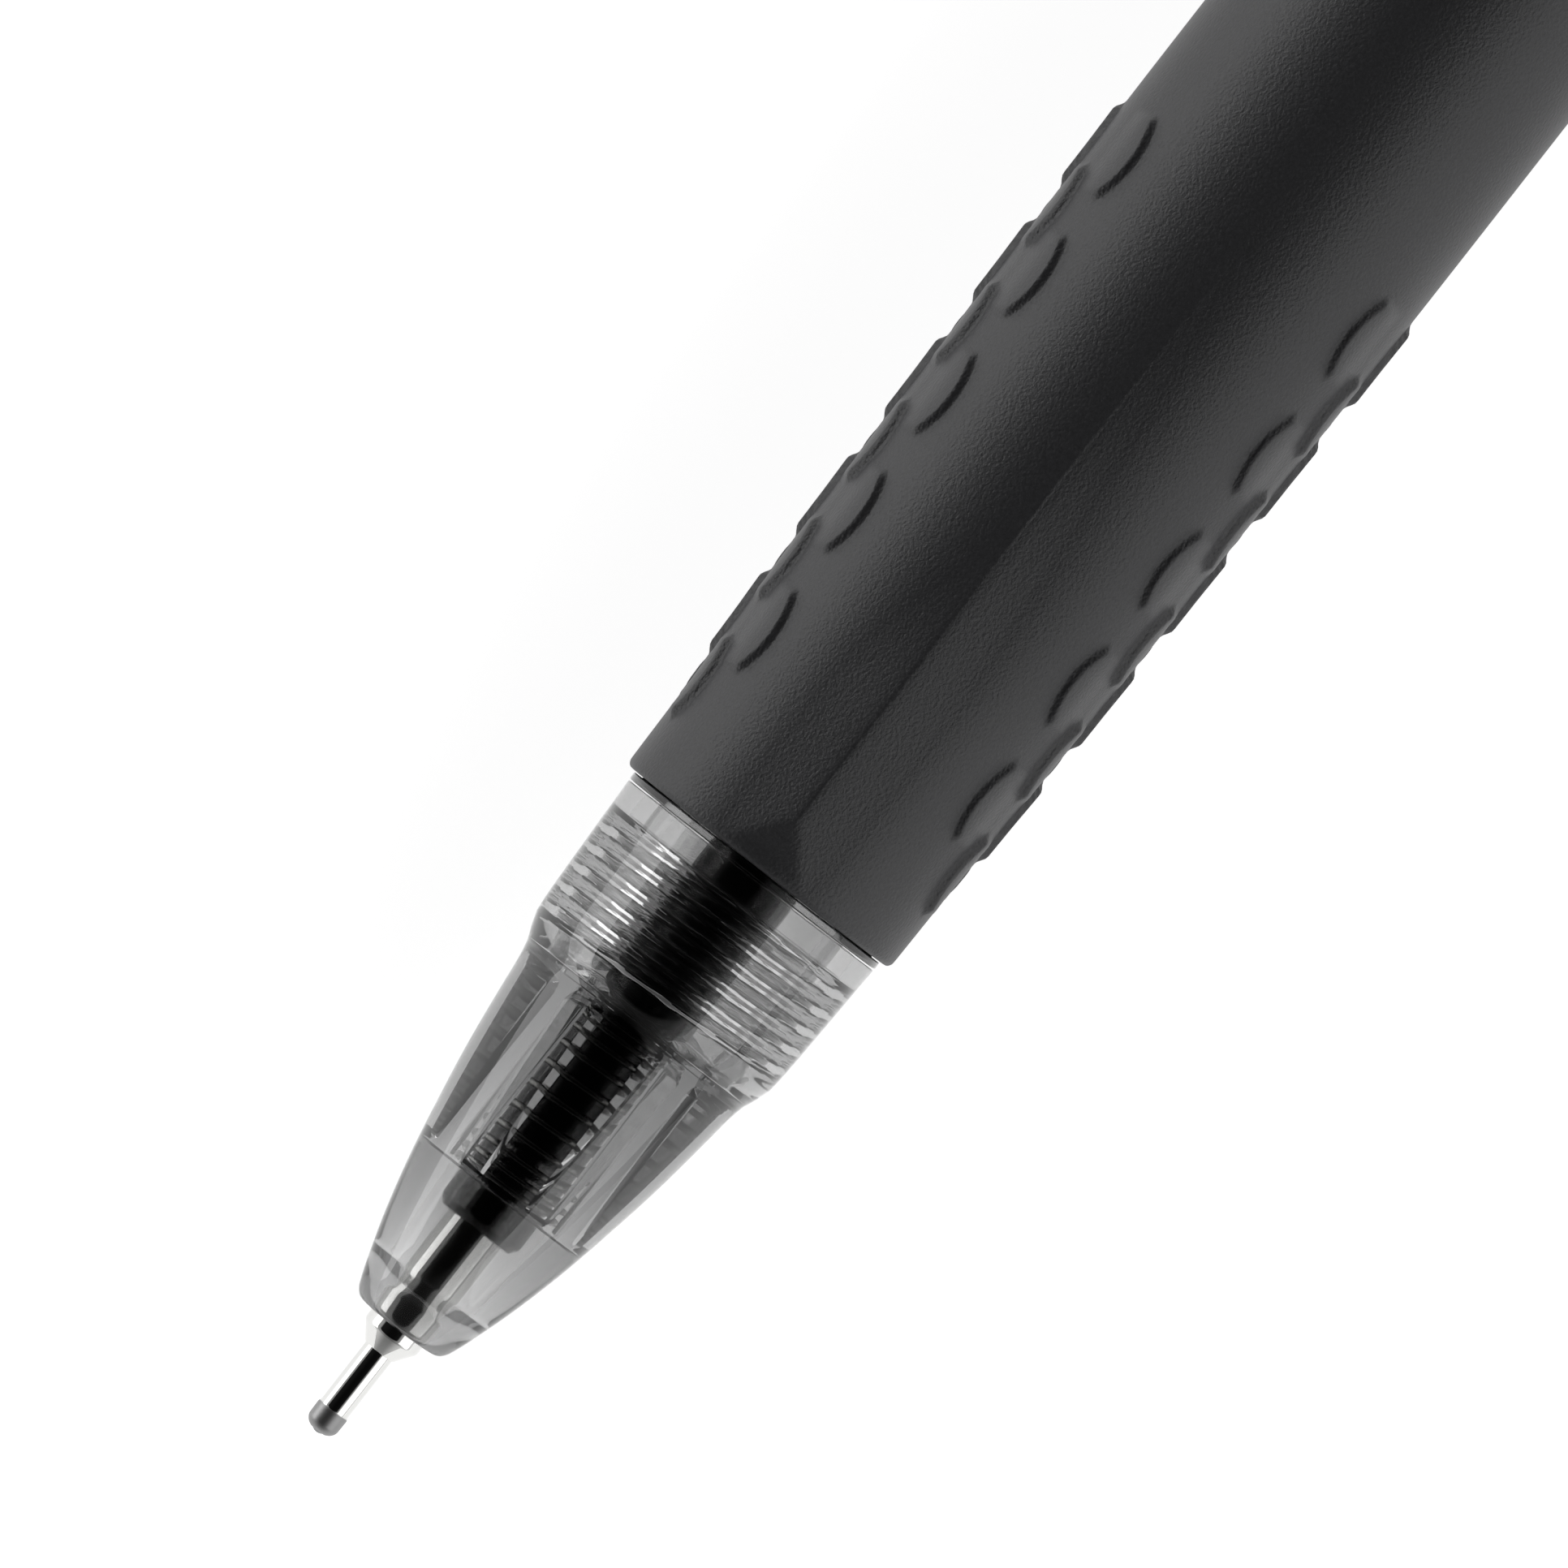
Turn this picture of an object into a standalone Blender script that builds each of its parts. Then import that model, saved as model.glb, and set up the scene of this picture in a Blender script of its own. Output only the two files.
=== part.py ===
"""Retractable gel pen with a needle point, lying on its side on a flat surface.

The pen's axis runs along X with the writing ball at -X and the knock button at +X. The pen rests on
its grip, its end cap and the corner of its clip, so the lowest point of all is at Z = 0. It is shown
with the point out. Every part is drawn in the pen's own frame, under the empty called pen_axis: Z runs
from the ball's front end to the rear, X points at the table, and lengths are in millimetres. "Along"
means the distance from the ball's front end, and every radius is measured from the pen's axis.
"""

import math

import bmesh
import bpy
from mathutils import Matrix

MM = 0.001

# Whole pen
LENGTH = 141.9
REST_R = 6.25
COARSE = 32
FINE = 24
TINY = 16

# Clearances
FIT = 0.05
RUNNING = 0.10
CLEAR = 0.30

# Ball and tip
BALL_R = 0.35
NEEDLE_R = 0.58
NEEDLE_BORE_R = 0.38
NEEDLE_END = 5.5
CONE_START = 3.53
CONE_END = 4.20
STEM_R = 1.125
STEM_END = 12.7
STEM_BORE_R = 0.80
SEAT_R = 0.22
SEAT_WIRE_R = 0.10
SEAT_COIL_R = 0.50
SEAT_TURNS = 7

# Refill
HOLDER_START = 9.2
HOLDER_R = 1.68
HOLDER_COLLAR = (18.2, 19.0)
COLLAR_R = 2.25
NECK_R = 1.85
NECK_END = 26.0
FLARE_END = 28.0
FLARE_R = 2.95
INK_NARROW_R = 1.0
INK_NECK_R = 1.5
TUBE_R = 3.0
TUBE_BORE_R = 2.5
TUBE_END = 108.0
PLUG_START = 33.0
INK_END = 95.0
FOLLOWER_END = 102.0
FLOAT_R = 1.2
TAIL_PLUG_START = 104.0
TAIL_END = 111.0
VENT_R = 0.4

# Return spring
SPRING_START = 10.65
SPRING_END = 18.10
SPRING_R = 2.05
SPRING_WIRE_R = 0.175
SPRING_TURNS = 11

# Nose and its thread
NOSE_START = 4.62
NOSE_END = 24.38
NOSE_BORE_R = 1.20
SPRING_SEAT = 10.5
SPRING_BORE_R = 2.40
SPIGOT_START = 18.3
NOSE_STEP = 18.15
NOSE_RELIEF = 23.4
THREAD_PITCH = 0.82
THREAD_START = 19.1
THREAD_TURNS = 4.6
THREAD_ROOT_R = 4.0
THREAD_CREST_R = 4.45
THREAD_STEPS = 20
THREAD_LEAD = 0.25
FLUTES = 6
FLUTE_FRONT = (11.2, 2.7, 1.0)
FLUTE_REAR = (17.93, 3.55, 1.6)

# Barrel
NECK_FLANGE = (24.43, 24.71)
FLANGE_R = 5.36
GRIP_START = 24.76
GRIP_END = 68.2
GRIP_SEAT_R = 5.0
BARREL_R = 6.15
BARREL_BODY_START = 68.5
BARREL_SHOULDER = 120.0
BARREL_END = 131.1
SPIGOT_R = 5.6
SPIGOT_BORE_R = 3.3
GRIP_BORE_R = 3.6
BODY_BORE_R = 4.3
CAM_BORE_R = 5.0

# Knock mechanism
SLEEVE_START = 113.0
SLEEVE_END = 130.8
SLEEVE_R = 4.95
SLEEVE_BORE_R = 4.5
GUIDE_R = 3.5
GUIDE_START = 119.9
GUIDES = 4
GUIDE_WIDTH = 3.0
RIB_R = 4.2
RIB_WIDTH = 1.3
ROTOR_START = 111.3
ROTOR_R = 3.2
ROTOR_END = 119.0
RIB_SPAN = (115.0, 119.2)
PILOT_R = 2.0
PILOT_END = 124.0
CROWN_START = 120.3
CROWN_R = 3.3
CROWN_TOOTH = 0.9
LUG_SPAN = (124.0, 127.0)
BUTTON_BORE_R = 2.4
BUTTON_BORE_END = 135.0
BUTTON_R = 3.6
BUTTON_STEP = 132.6
BUTTON_FLAT_R = 2.9

# End cap, trim ring and clip
RING_SPAN = (120.25, 121.75)
CAP_START = 122.0
CAP_END = 137.0
CAP_LIP = 135.0
CAP_LIP_R = 3.9
CAP_CAVITY_R = 4.6
SLOT_FLOOR_R = 5.3
CLIP_TILT = 65.5
CLIP_WIDTH = 5.0
CLIP_THICK = 0.8
CLIP_OUTER_R = 9.6
CLIP_FRONT = 92.0
CLIP_FRONT_R = 8.75
CLIP_BEND_R = 1.2
CLIP_BEND = 98.5
CLIP_BUMP = 95.6
CLIP_BUMP_R = 6.5
CLIP_HINGE = (133.4, 6.0)

FINISHES = {
    "clear_smoke_plastic": ((0.34, 0.35, 0.36), 0.10, 0.0),
    "grip_rubber": ((0.035, 0.035, 0.037), 0.75, 0.0),
    "stainless_steel": ((0.62, 0.62, 0.63), 0.20, 1.0),
    "spring_steel": ((0.50, 0.50, 0.51), 0.25, 1.0),
    "tungsten_carbide": ((0.30, 0.30, 0.31), 0.30, 1.0),
    "black_plastic": ((0.02, 0.02, 0.022), 0.30, 0.0),
    "natural_plastic": ((0.70, 0.70, 0.69), 0.35, 0.0),
    "gel_ink": ((0.006, 0.006, 0.008), 0.20, 0.0),
    "grease": ((0.75, 0.72, 0.60), 0.30, 0.0),
}


def clear_scene():
    """Remove every object that the file starts with."""
    for item in list(bpy.data.objects):
        bpy.data.objects.remove(item, do_unlink=True)


def collection(name):
    """A new collection in the scene."""
    made = bpy.data.collections.new(name)
    bpy.context.scene.collection.children.link(made)
    return made


def material(name):
    """The named material, made on first use."""
    if name in bpy.data.materials:
        return bpy.data.materials[name]
    color, roughness, metallic = FINISHES[name]
    made = bpy.data.materials.new(name)
    made.use_nodes = True
    shader = made.node_tree.nodes["Principled BSDF"]
    shader.inputs["Base Color"].default_value = (*color, 1.0)
    shader.inputs["Roughness"].default_value = roughness
    shader.inputs["Metallic"].default_value = metallic
    made.diffuse_color = (*color, 1.0)
    return made


def clip_lowest_offset():
    """How far the clip's outer corner lies below the pen's axis."""
    tilt = math.radians(CLIP_TILT)
    return CLIP_OUTER_R * math.cos(tilt) + CLIP_WIDTH / 2 * math.sin(tilt)


def axis_y():
    """The axis's Y, which centres the whole pen between its grip and its clip."""
    tilt = math.radians(CLIP_TILT)
    reach = CLIP_OUTER_R * math.sin(tilt) + CLIP_WIDTH / 2 * math.cos(tilt)
    return (REST_R - reach) / 2


def make_axis(group):
    """The empty that carries every part: its Z is the pen's axis and its X points at the table."""
    axis = bpy.data.objects.new("pen_axis", None)
    axis.empty_display_size = 10 * MM
    height = max(REST_R, clip_lowest_offset())
    axis.location = (-LENGTH / 2 * MM, axis_y() * MM, height * MM)
    axis.rotation_euler = (0, math.pi / 2, 0)
    group.objects.link(axis)
    return axis


class Bench:
    """Where parts and cutters go, and the empty that carries them."""

    def __init__(self):
        self.parts = collection("gel_pen")
        self.cutters = collection("cutters")
        self.axis = make_axis(self.parts)

    def add(self, name, mesh, finish):
        """A visible part."""
        mesh.materials.append(material(finish))
        part = bpy.data.objects.new(name, mesh)
        part.parent = self.axis
        self.parts.objects.link(part)
        return part

    def add_cutter(self, name, mesh):
        """A shape that is only cut from or joined to a part."""
        cutter = bpy.data.objects.new(name, mesh)
        cutter.parent = self.axis
        cutter.hide_render = True
        cutter.display_type = "WIRE"
        self.cutters.objects.link(cutter)
        return cutter


def outline_mesh(name, points, closed):
    """A mesh of edges through (along, radius) points, in the plane that Screw turns."""
    shape = bmesh.new()
    corners = [shape.verts.new((radius * MM, 0, along * MM)) for along, radius in points]
    pairs = list(zip(corners, corners[1:]))
    if closed:
        pairs.append((corners[-1], corners[0]))
    for pair in pairs:
        shape.edges.new(pair)
    mesh = bpy.data.meshes.new(name)
    shape.to_mesh(mesh)
    shape.free()
    return mesh


def turned(bench, name, finish, outer, inner=(), steps=COARSE):
    """A turned part. outer and inner run from the tip's end to the rear as (along, radius).

    A bore that starts or ends on the axis is blind, and with no inner the part is solid.
    """
    side = list(reversed(outer))
    front_axis, rear_axis = (outer[0][0], 0), (outer[-1][0], 0)
    if not inner:
        points = [rear_axis, *side, front_axis]
    elif inner[0][1] == 0:
        points = [*inner, *side, front_axis]
    elif inner[-1][1] == 0:
        points = [rear_axis, *side, *inner]
    else:
        points = [*side, *inner]
    closed = points[0][1] > 0
    part = bench.add(name, outline_mesh(name, points, closed), finish)
    screw = part.modifiers.new("turn", "SCREW")
    screw.axis = "Z"
    screw.steps = steps
    screw.render_steps = steps
    screw.use_merge_vertices = True
    screw.merge_threshold = 1e-6
    return part


def boolean(part, cutter, operation):
    """Join or cut part with cutter."""
    change = part.modifiers.new(cutter.name, "BOOLEAN")
    change.object = cutter
    change.operation = operation
    change.solver = "EXACT"
    return change


def rounded_rear(along, radius, size, count=3):
    """Points round a turned part's rear corner, from its side to its end face."""
    found = []
    for i in range(count + 1):
        turn = math.pi / 2 * i / count
        found.append((along - size * (1 - math.sin(turn)), radius - size * (1 - math.cos(turn))))
    return found


def radial_block(bench, name, front, rear, inner_r, angle, slant=0.0):
    """A block that stands out from the axis. front and rear are (along, outer radius, width).

    angle turns it about the axis, in degrees, and slant leans its front end, across its width.
    """
    shape = bmesh.new()
    bmesh.ops.create_cube(shape, size=2)
    for corner in shape.verts:
        along, outer_r, width = front if corner.co.z < 0 else rear
        side = math.copysign(1, corner.co.y)
        lean = slant * side if corner.co.z < 0 else 0.0
        radius = outer_r if corner.co.x > 0 else inner_r
        corner.co = (radius * MM, side * width / 2 * MM, (along + lean) * MM)
    turn = Matrix.Rotation(math.radians(angle), 3, "Z")
    bmesh.ops.rotate(shape, verts=shape.verts, cent=(0, 0, 0), matrix=turn)
    mesh = bpy.data.meshes.new(name)
    shape.to_mesh(mesh)
    shape.free()
    return bench.add_cutter(name, mesh)


def thread_ridge(bench, name, lead, turns, radii, widths):
    """A right-hand helical ridge, from lead turns before the thread's start to turns after it.

    radii and widths are (root, crest).
    """
    start = THREAD_START - lead * THREAD_PITCH
    shape = bmesh.new()
    corners = []
    for radius, width in zip(radii, widths):
        corners += [(radius, start - width / 2), (radius, start + width / 2)]
    order = [corners[0], corners[1], corners[3], corners[2]]
    face = shape.faces.new([shape.verts.new((r * MM, 0, z * MM)) for r, z in order])
    turn = Matrix.Rotation(-2 * math.pi * lead, 3, "Z")
    bmesh.ops.rotate(shape, verts=shape.verts, cent=(0, 0, 0), matrix=turn)
    steps = round((lead + turns) * THREAD_STEPS)
    bmesh.ops.spin(
        shape,
        geom=[face, *face.edges, *face.verts],
        cent=(0, 0, 0),
        axis=(0, 0, 1),
        dvec=(0, 0, THREAD_PITCH * MM / THREAD_STEPS),
        angle=2 * math.pi * steps / THREAD_STEPS,
        steps=steps,
    )
    bmesh.ops.recalc_face_normals(shape, faces=shape.faces)
    mesh = bpy.data.meshes.new(name)
    shape.to_mesh(mesh)
    shape.free()
    return bench.add_cutter(name, mesh)


def wire(bench, name, finish, points, wire_r):
    """A bent wire through the given points, in millimetres."""
    curve = bpy.data.curves.new(name, "CURVE")
    curve.dimensions = "3D"
    curve.bevel_depth = wire_r * MM
    curve.bevel_resolution = 2
    curve.use_fill_caps = True
    line = curve.splines.new("POLY")
    line.points.add(len(points) - 1)
    for point, place in zip(line.points, points):
        point.co = (*(value * MM for value in place), 1)
    return bench.add(name, curve, finish)


def coil_points(radius, start, end, turns, per_turn):
    """Points along a coil whose end turns lie closer together than the rest."""
    count = turns * per_turn
    found = []
    for i in range(count + 1):
        share = i / count
        eased = share - 0.06 * math.sin(2 * math.pi * share)
        turn = 2 * math.pi * share * turns
        found.append((radius * math.cos(turn), radius * math.sin(turn), start + (end - start) * eased))
    return found


def make_tip(bench):
    """The ball, the needle, its stem and the fine spring that seats the ball."""
    ball = bmesh.new()
    bmesh.ops.create_uvsphere(ball, u_segments=TINY, v_segments=10, radius=BALL_R * MM)
    mesh = bpy.data.meshes.new("writing_ball")
    ball.to_mesh(mesh)
    ball.free()
    bench.add("writing_ball", mesh, "tungsten_carbide").location = (0, 0, BALL_R * MM)

    socket_r = BALL_R + 0.04
    turned(
        bench,
        "needle_tube",
        "stainless_steel",
        [(0.20, 0.42), (0.27, 0.50), (0.45, NEEDLE_R), (NEEDLE_END, NEEDLE_R)],
        [
            (0.20, 0.335),
            (BALL_R, socket_r),
            (0.56, socket_r),
            (0.68, SEAT_R),
            (0.85, SEAT_R),
            (1.00, NEEDLE_BORE_R),
            (NEEDLE_END, NEEDLE_BORE_R),
        ],
        FINE,
    )
    hole_r = NEEDLE_R + 0.02
    turned(
        bench,
        "tip_stem",
        "stainless_steel",
        [(CONE_START, hole_r + 0.06), (CONE_END, STEM_R), (STEM_END, STEM_R)],
        [
            (CONE_START, hole_r),
            (NEEDLE_END + FIT, hole_r),
            (NEEDLE_END + 0.3, STEM_BORE_R),
            (STEM_END, STEM_BORE_R),
        ],
        FINE,
    )
    pin = [(0, 0, 2 * BALL_R + FIT), (0, 0, 3.0), (0, 0, NEEDLE_END + 0.1)]
    coil = coil_points(SEAT_COIL_R, NEEDLE_END + 0.7, STEM_END - 0.5, SEAT_TURNS, 8)
    wire(bench, "ball_seat_spring", "spring_steel", pin + coil, SEAT_WIRE_R)


def make_refill(bench):
    """The moulded holder, the ink tube with its ink and grease, and the vented plug."""
    collar_front, collar_rear = HOLDER_COLLAR
    plug_r = TUBE_BORE_R - FIT
    turned(
        bench,
        "tip_holder",
        "clear_smoke_plastic",
        [
            (HOLDER_START, HOLDER_R - 0.25),
            (HOLDER_START + 0.3, HOLDER_R),
            (collar_front, HOLDER_R),
            (collar_front, COLLAR_R),
            (collar_rear, COLLAR_R),
            (collar_rear, NECK_R),
            (NECK_END, NECK_R),
            (FLARE_END - 1.0, FLARE_R),
            (FLARE_END, FLARE_R),
            (FLARE_END, plug_r),
            (PLUG_START, plug_r),
        ],
        [
            (HOLDER_START, STEM_R + FIT),
            (STEM_END + FIT, STEM_R + FIT),
            (STEM_END + FIT, INK_NARROW_R + FIT),
            (collar_rear - 0.4, INK_NARROW_R + FIT),
            (collar_rear, INK_NECK_R + FIT),
            (PLUG_START, INK_NECK_R + FIT),
        ],
        FINE,
    )
    turned(
        bench,
        "reservoir_tube",
        "natural_plastic",
        [(FLARE_END + FIT, TUBE_R), (TUBE_END, TUBE_R)],
        [(FLARE_END + FIT, TUBE_BORE_R), (TUBE_END, TUBE_BORE_R)],
        FINE,
    )
    ink_r = TUBE_BORE_R - FIT
    turned(
        bench,
        "ink_column",
        "gel_ink",
        [
            (STEM_END + 0.2, INK_NARROW_R),
            (collar_rear - 0.4, INK_NARROW_R),
            (collar_rear, INK_NECK_R),
            (PLUG_START + FIT, INK_NECK_R),
            (PLUG_START + FIT, ink_r),
            (INK_END, ink_r),
        ],
        steps=FINE,
    )
    float_start = INK_END + 2.0
    turned(
        bench,
        "ink_follower",
        "grease",
        [(INK_END + FIT, ink_r), (FOLLOWER_END, ink_r)],
        [(float_start, 0), (float_start, FLOAT_R + FIT), (FOLLOWER_END, FLOAT_R + FIT)],
        FINE,
    )
    turned(
        bench,
        "follower_float",
        "natural_plastic",
        [
            (float_start + CLEAR, FLOAT_R),
            (FOLLOWER_END + 0.5, FLOAT_R),
            (FOLLOWER_END + 0.9, FLOAT_R - 0.4),
        ],
        steps=FINE,
    )
    turned(
        bench,
        "tail_plug",
        "black_plastic",
        [
            (TAIL_PLUG_START, plug_r - 0.3),
            (TAIL_PLUG_START + 0.5, plug_r),
            (TUBE_END + CLEAR, plug_r),
            (TUBE_END + CLEAR, TUBE_R),
            (TAIL_END, TUBE_R),
        ],
        [(TAIL_PLUG_START, VENT_R), (TAIL_END, VENT_R)],
        FINE,
    )
    first = SPRING_START + SPRING_WIRE_R
    last = SPRING_END - SPRING_WIRE_R
    coil = coil_points(SPRING_R, first, last, SPRING_TURNS, 10)
    wire(bench, "return_spring", "spring_steel", coil, SPRING_WIRE_R)


def nose_radius(along):
    """The nose's outer radius between its small front round and its collar: a slender ogive."""
    start, start_r = 4.96, 1.99
    end, end_r = 17.3, 4.58
    share = (along - start) / (end - start)
    return start_r + (end_r - start_r) * math.sin(share * 1.25) / math.sin(1.25)


def make_nose(bench):
    """The clear nose: an ogive with a flared collar, inner flutes and a female thread."""
    ogive = [(along, nose_radius(along)) for along in (4.96, 6.1, 7.5, 9.4, 11.7, 14.3, 17.3)]
    crest_r = THREAD_CREST_R + RUNNING
    bore_r = THREAD_ROOT_R + RUNNING + 0.02
    nose = turned(
        bench,
        "nose_cone",
        "clear_smoke_plastic",
        [
            (NOSE_START, 1.72),
            (4.76, 1.86),
            *ogive,
            (17.9, 4.72),
            (18.4, 4.93),
            (18.95, 5.09),
            (20.1, 5.17),
            (NOSE_END, 5.35),
        ],
        [
            (NOSE_START, NOSE_BORE_R),
            (5.77, NOSE_BORE_R),
            (6.67, 1.83),
            (SPRING_SEAT, 2.10),
            (SPRING_SEAT, SPRING_BORE_R),
            (NOSE_STEP, SPRING_BORE_R),
            (NOSE_STEP, bore_r),
            (NOSE_RELIEF, bore_r),
            (NOSE_RELIEF, crest_r + FIT),
            (NOSE_END, crest_r + FIT),
        ],
    )
    for i in range(FLUTES):
        angle = 360 / FLUTES * (i + 0.5)
        inner_r = SPRING_BORE_R - 0.4
        flute = radial_block(bench, f"flute_{i + 1}", FLUTE_FRONT, FLUTE_REAR, inner_r, angle)
        boolean(nose, flute, "DIFFERENCE")
    groove = thread_ridge(
        bench,
        "nose_thread_groove",
        THREAD_LEAD,
        THREAD_TURNS + 1,
        (bore_r - 0.12, crest_r),
        (0.66, 0.34),
    )
    boolean(nose, groove, "DIFFERENCE")


def make_barrel(bench):
    """The clear barrel, one moulding with the threaded spigot that the nose screws on to."""
    flange_front, flange_rear = NECK_FLANGE
    barrel = turned(
        bench,
        "barrel",
        "clear_smoke_plastic",
        [
            (SPIGOT_START, THREAD_ROOT_R - 0.25),
            (SPIGOT_START + 0.3, THREAD_ROOT_R),
            (flange_front, THREAD_ROOT_R),
            (flange_front, FLANGE_R),
            (flange_rear, FLANGE_R),
            (flange_rear, GRIP_SEAT_R),
            (BARREL_BODY_START, GRIP_SEAT_R),
            (BARREL_BODY_START, BARREL_R),
            (BARREL_SHOULDER, BARREL_R),
            (BARREL_SHOULDER, SPIGOT_R),
            (BARREL_END, SPIGOT_R),
        ],
        [
            (SPIGOT_START, SPIGOT_BORE_R),
            (flange_front, SPIGOT_BORE_R),
            (flange_rear + 1, GRIP_BORE_R),
            (BARREL_BODY_START, GRIP_BORE_R),
            (BARREL_BODY_START + 2, BODY_BORE_R),
            (SLEEVE_START - CLEAR, BODY_BORE_R),
            (SLEEVE_START - CLEAR, CAM_BORE_R),
            (BARREL_END, CAM_BORE_R),
        ],
    )
    ridge = thread_ridge(
        bench,
        "barrel_thread_ridge",
        0,
        THREAD_TURNS,
        (THREAD_ROOT_R - 0.12, THREAD_CREST_R),
        (0.54, 0.20),
    )
    boolean(barrel, ridge, "UNION")


def make_grip(bench):
    """The rubber grip: a sleeve that swells gently towards the rear, with a small front chamfer."""
    swell = [(28.5, 5.80), (33.8, 5.97), (38.6, 6.06), (43.6, 6.12), (48.7, 6.19), (53.7, REST_R)]
    turned(
        bench,
        "grip_sleeve",
        "grip_rubber",
        [
            (GRIP_START, 5.60),
            (GRIP_START + 0.19, 5.74),
            *swell,
            (GRIP_END - 0.2, REST_R),
            (GRIP_END, REST_R - 0.2),
        ],
        [(GRIP_START, GRIP_SEAT_R + FIT), (GRIP_END, GRIP_SEAT_R + FIT)],
    )


def make_knock(bench):
    """The guide sleeve, the rotor cam and the push button."""
    sleeve = turned(
        bench,
        "cam_sleeve",
        "black_plastic",
        [(SLEEVE_START, SLEEVE_R), (SLEEVE_END, SLEEVE_R)],
        [(SLEEVE_START, SLEEVE_BORE_R), (SLEEVE_END, SLEEVE_BORE_R)],
    )
    rotor = turned(
        bench,
        "rotor_cam",
        "natural_plastic",
        [
            (ROTOR_START, ROTOR_R - 0.3),
            (ROTOR_START + 0.3, ROTOR_R),
            (ROTOR_END, ROTOR_R),
            (ROTOR_END, PILOT_R),
            (PILOT_END - 0.4, PILOT_R),
            (PILOT_END, PILOT_R - 0.4),
        ],
    )
    end_round = rounded_rear(LENGTH, BUTTON_R, BUTTON_R - BUTTON_FLAT_R)
    button = turned(
        bench,
        "push_button",
        "black_plastic",
        [(CROWN_START, CROWN_R), (BUTTON_STEP, CROWN_R), (BUTTON_STEP, BUTTON_R), *end_round],
        [
            (CROWN_START, BUTTON_BORE_R),
            (BUTTON_BORE_END - 0.8, BUTTON_BORE_R),
            (BUTTON_BORE_END, 0),
        ],
    )
    wall_r = SLEEVE_BORE_R + RUNNING
    rib_front, rib_rear = RIB_SPAN
    lug_front, lug_rear = LUG_SPAN
    for i in range(GUIDES):
        angle = 360 / GUIDES * i
        guide = radial_block(
            bench,
            f"guide_{i + 1}",
            (GUIDE_START + 0.8, wall_r, GUIDE_WIDTH),
            (SLEEVE_END - 0.3, wall_r, GUIDE_WIDTH),
            GUIDE_R,
            angle + 180 / GUIDES,
            0.7,
        )
        boolean(sleeve, guide, "UNION")
        rib = radial_block(
            bench,
            f"rotor_rib_{i + 1}",
            (rib_front, RIB_R, RIB_WIDTH),
            (rib_rear, RIB_R, RIB_WIDTH),
            ROTOR_R - 0.7,
            angle,
            -0.3,
        )
        boolean(rotor, rib, "UNION")
        lug = radial_block(
            bench,
            f"button_lug_{i + 1}",
            (lug_front, RIB_R, RIB_WIDTH),
            (lug_rear, RIB_R, RIB_WIDTH),
            CROWN_R - 0.5,
            angle,
        )
        boolean(button, lug, "UNION")
    notch_depth = CROWN_START + CROWN_TOOTH
    for i in range(GUIDES):
        boolean(button, crown_notch(bench, i, notch_depth), "DIFFERENCE")


def crown_notch(bench, index, depth):
    """A V-shaped bar across the button's crown, which leaves a tooth on each side of it."""
    shape = bmesh.new()
    bmesh.ops.create_cube(shape, size=2)
    for corner in shape.verts:
        x, y, z = corner.co
        width = 0.02 if z > 0 else 1.1
        along = depth if z > 0 else CROWN_START - 0.5
        corner.co = (x * (CROWN_R + 1) * MM, y * width * MM, along * MM)
    turn = Matrix.Rotation(math.radians(180 / GUIDES * (index + 0.5)), 3, "Z")
    bmesh.ops.rotate(shape, verts=shape.verts, cent=(0, 0, 0), matrix=turn)
    mesh = bpy.data.meshes.new(f"crown_notch_{index + 1}")
    shape.to_mesh(mesh)
    shape.free()
    return bench.add_cutter(mesh.name, mesh)


def make_rear(bench):
    """The trim ring and the end cap with its slot for the clip."""
    ring_front, ring_rear = RING_SPAN
    hole_r = SPIGOT_R + FIT
    turned(
        bench,
        "trim_ring",
        "stainless_steel",
        [
            (ring_front, REST_R - 0.2),
            (ring_front + 0.2, REST_R),
            (ring_rear - 0.2, REST_R),
            (ring_rear, REST_R - 0.2),
        ],
        [(ring_front, hole_r), (ring_rear, hole_r)],
    )
    cap = turned(
        bench,
        "end_cap",
        "black_plastic",
        [
            (CAP_START, REST_R),
            (CAP_END - 3.0, REST_R),
            (CAP_END - 1.2, REST_R - 0.35),
            (CAP_END - 0.3, REST_R - 1.0),
            (CAP_END, REST_R - 1.6),
        ],
        [
            (CAP_START, hole_r),
            (BARREL_END + CLEAR, hole_r),
            (BARREL_END + CLEAR + 0.3, CAP_CAVITY_R),
            (CAP_LIP, CAP_CAVITY_R),
            (CAP_LIP + 0.4, CAP_LIP_R),
            (CAP_END, CAP_LIP_R),
        ],
    )
    along = CLIP_HINGE[0]
    half = CLIP_THICK / 2 + CLEAR
    width = CLIP_WIDTH + 2 * CLEAR
    slot = radial_block(
        bench,
        "clip_slot",
        (along - half, REST_R + 1, width),
        (along + half, REST_R + 1, width),
        SLOT_FLOOR_R,
        CLIP_TILT,
    )
    boolean(cap, slot, "DIFFERENCE")


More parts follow.
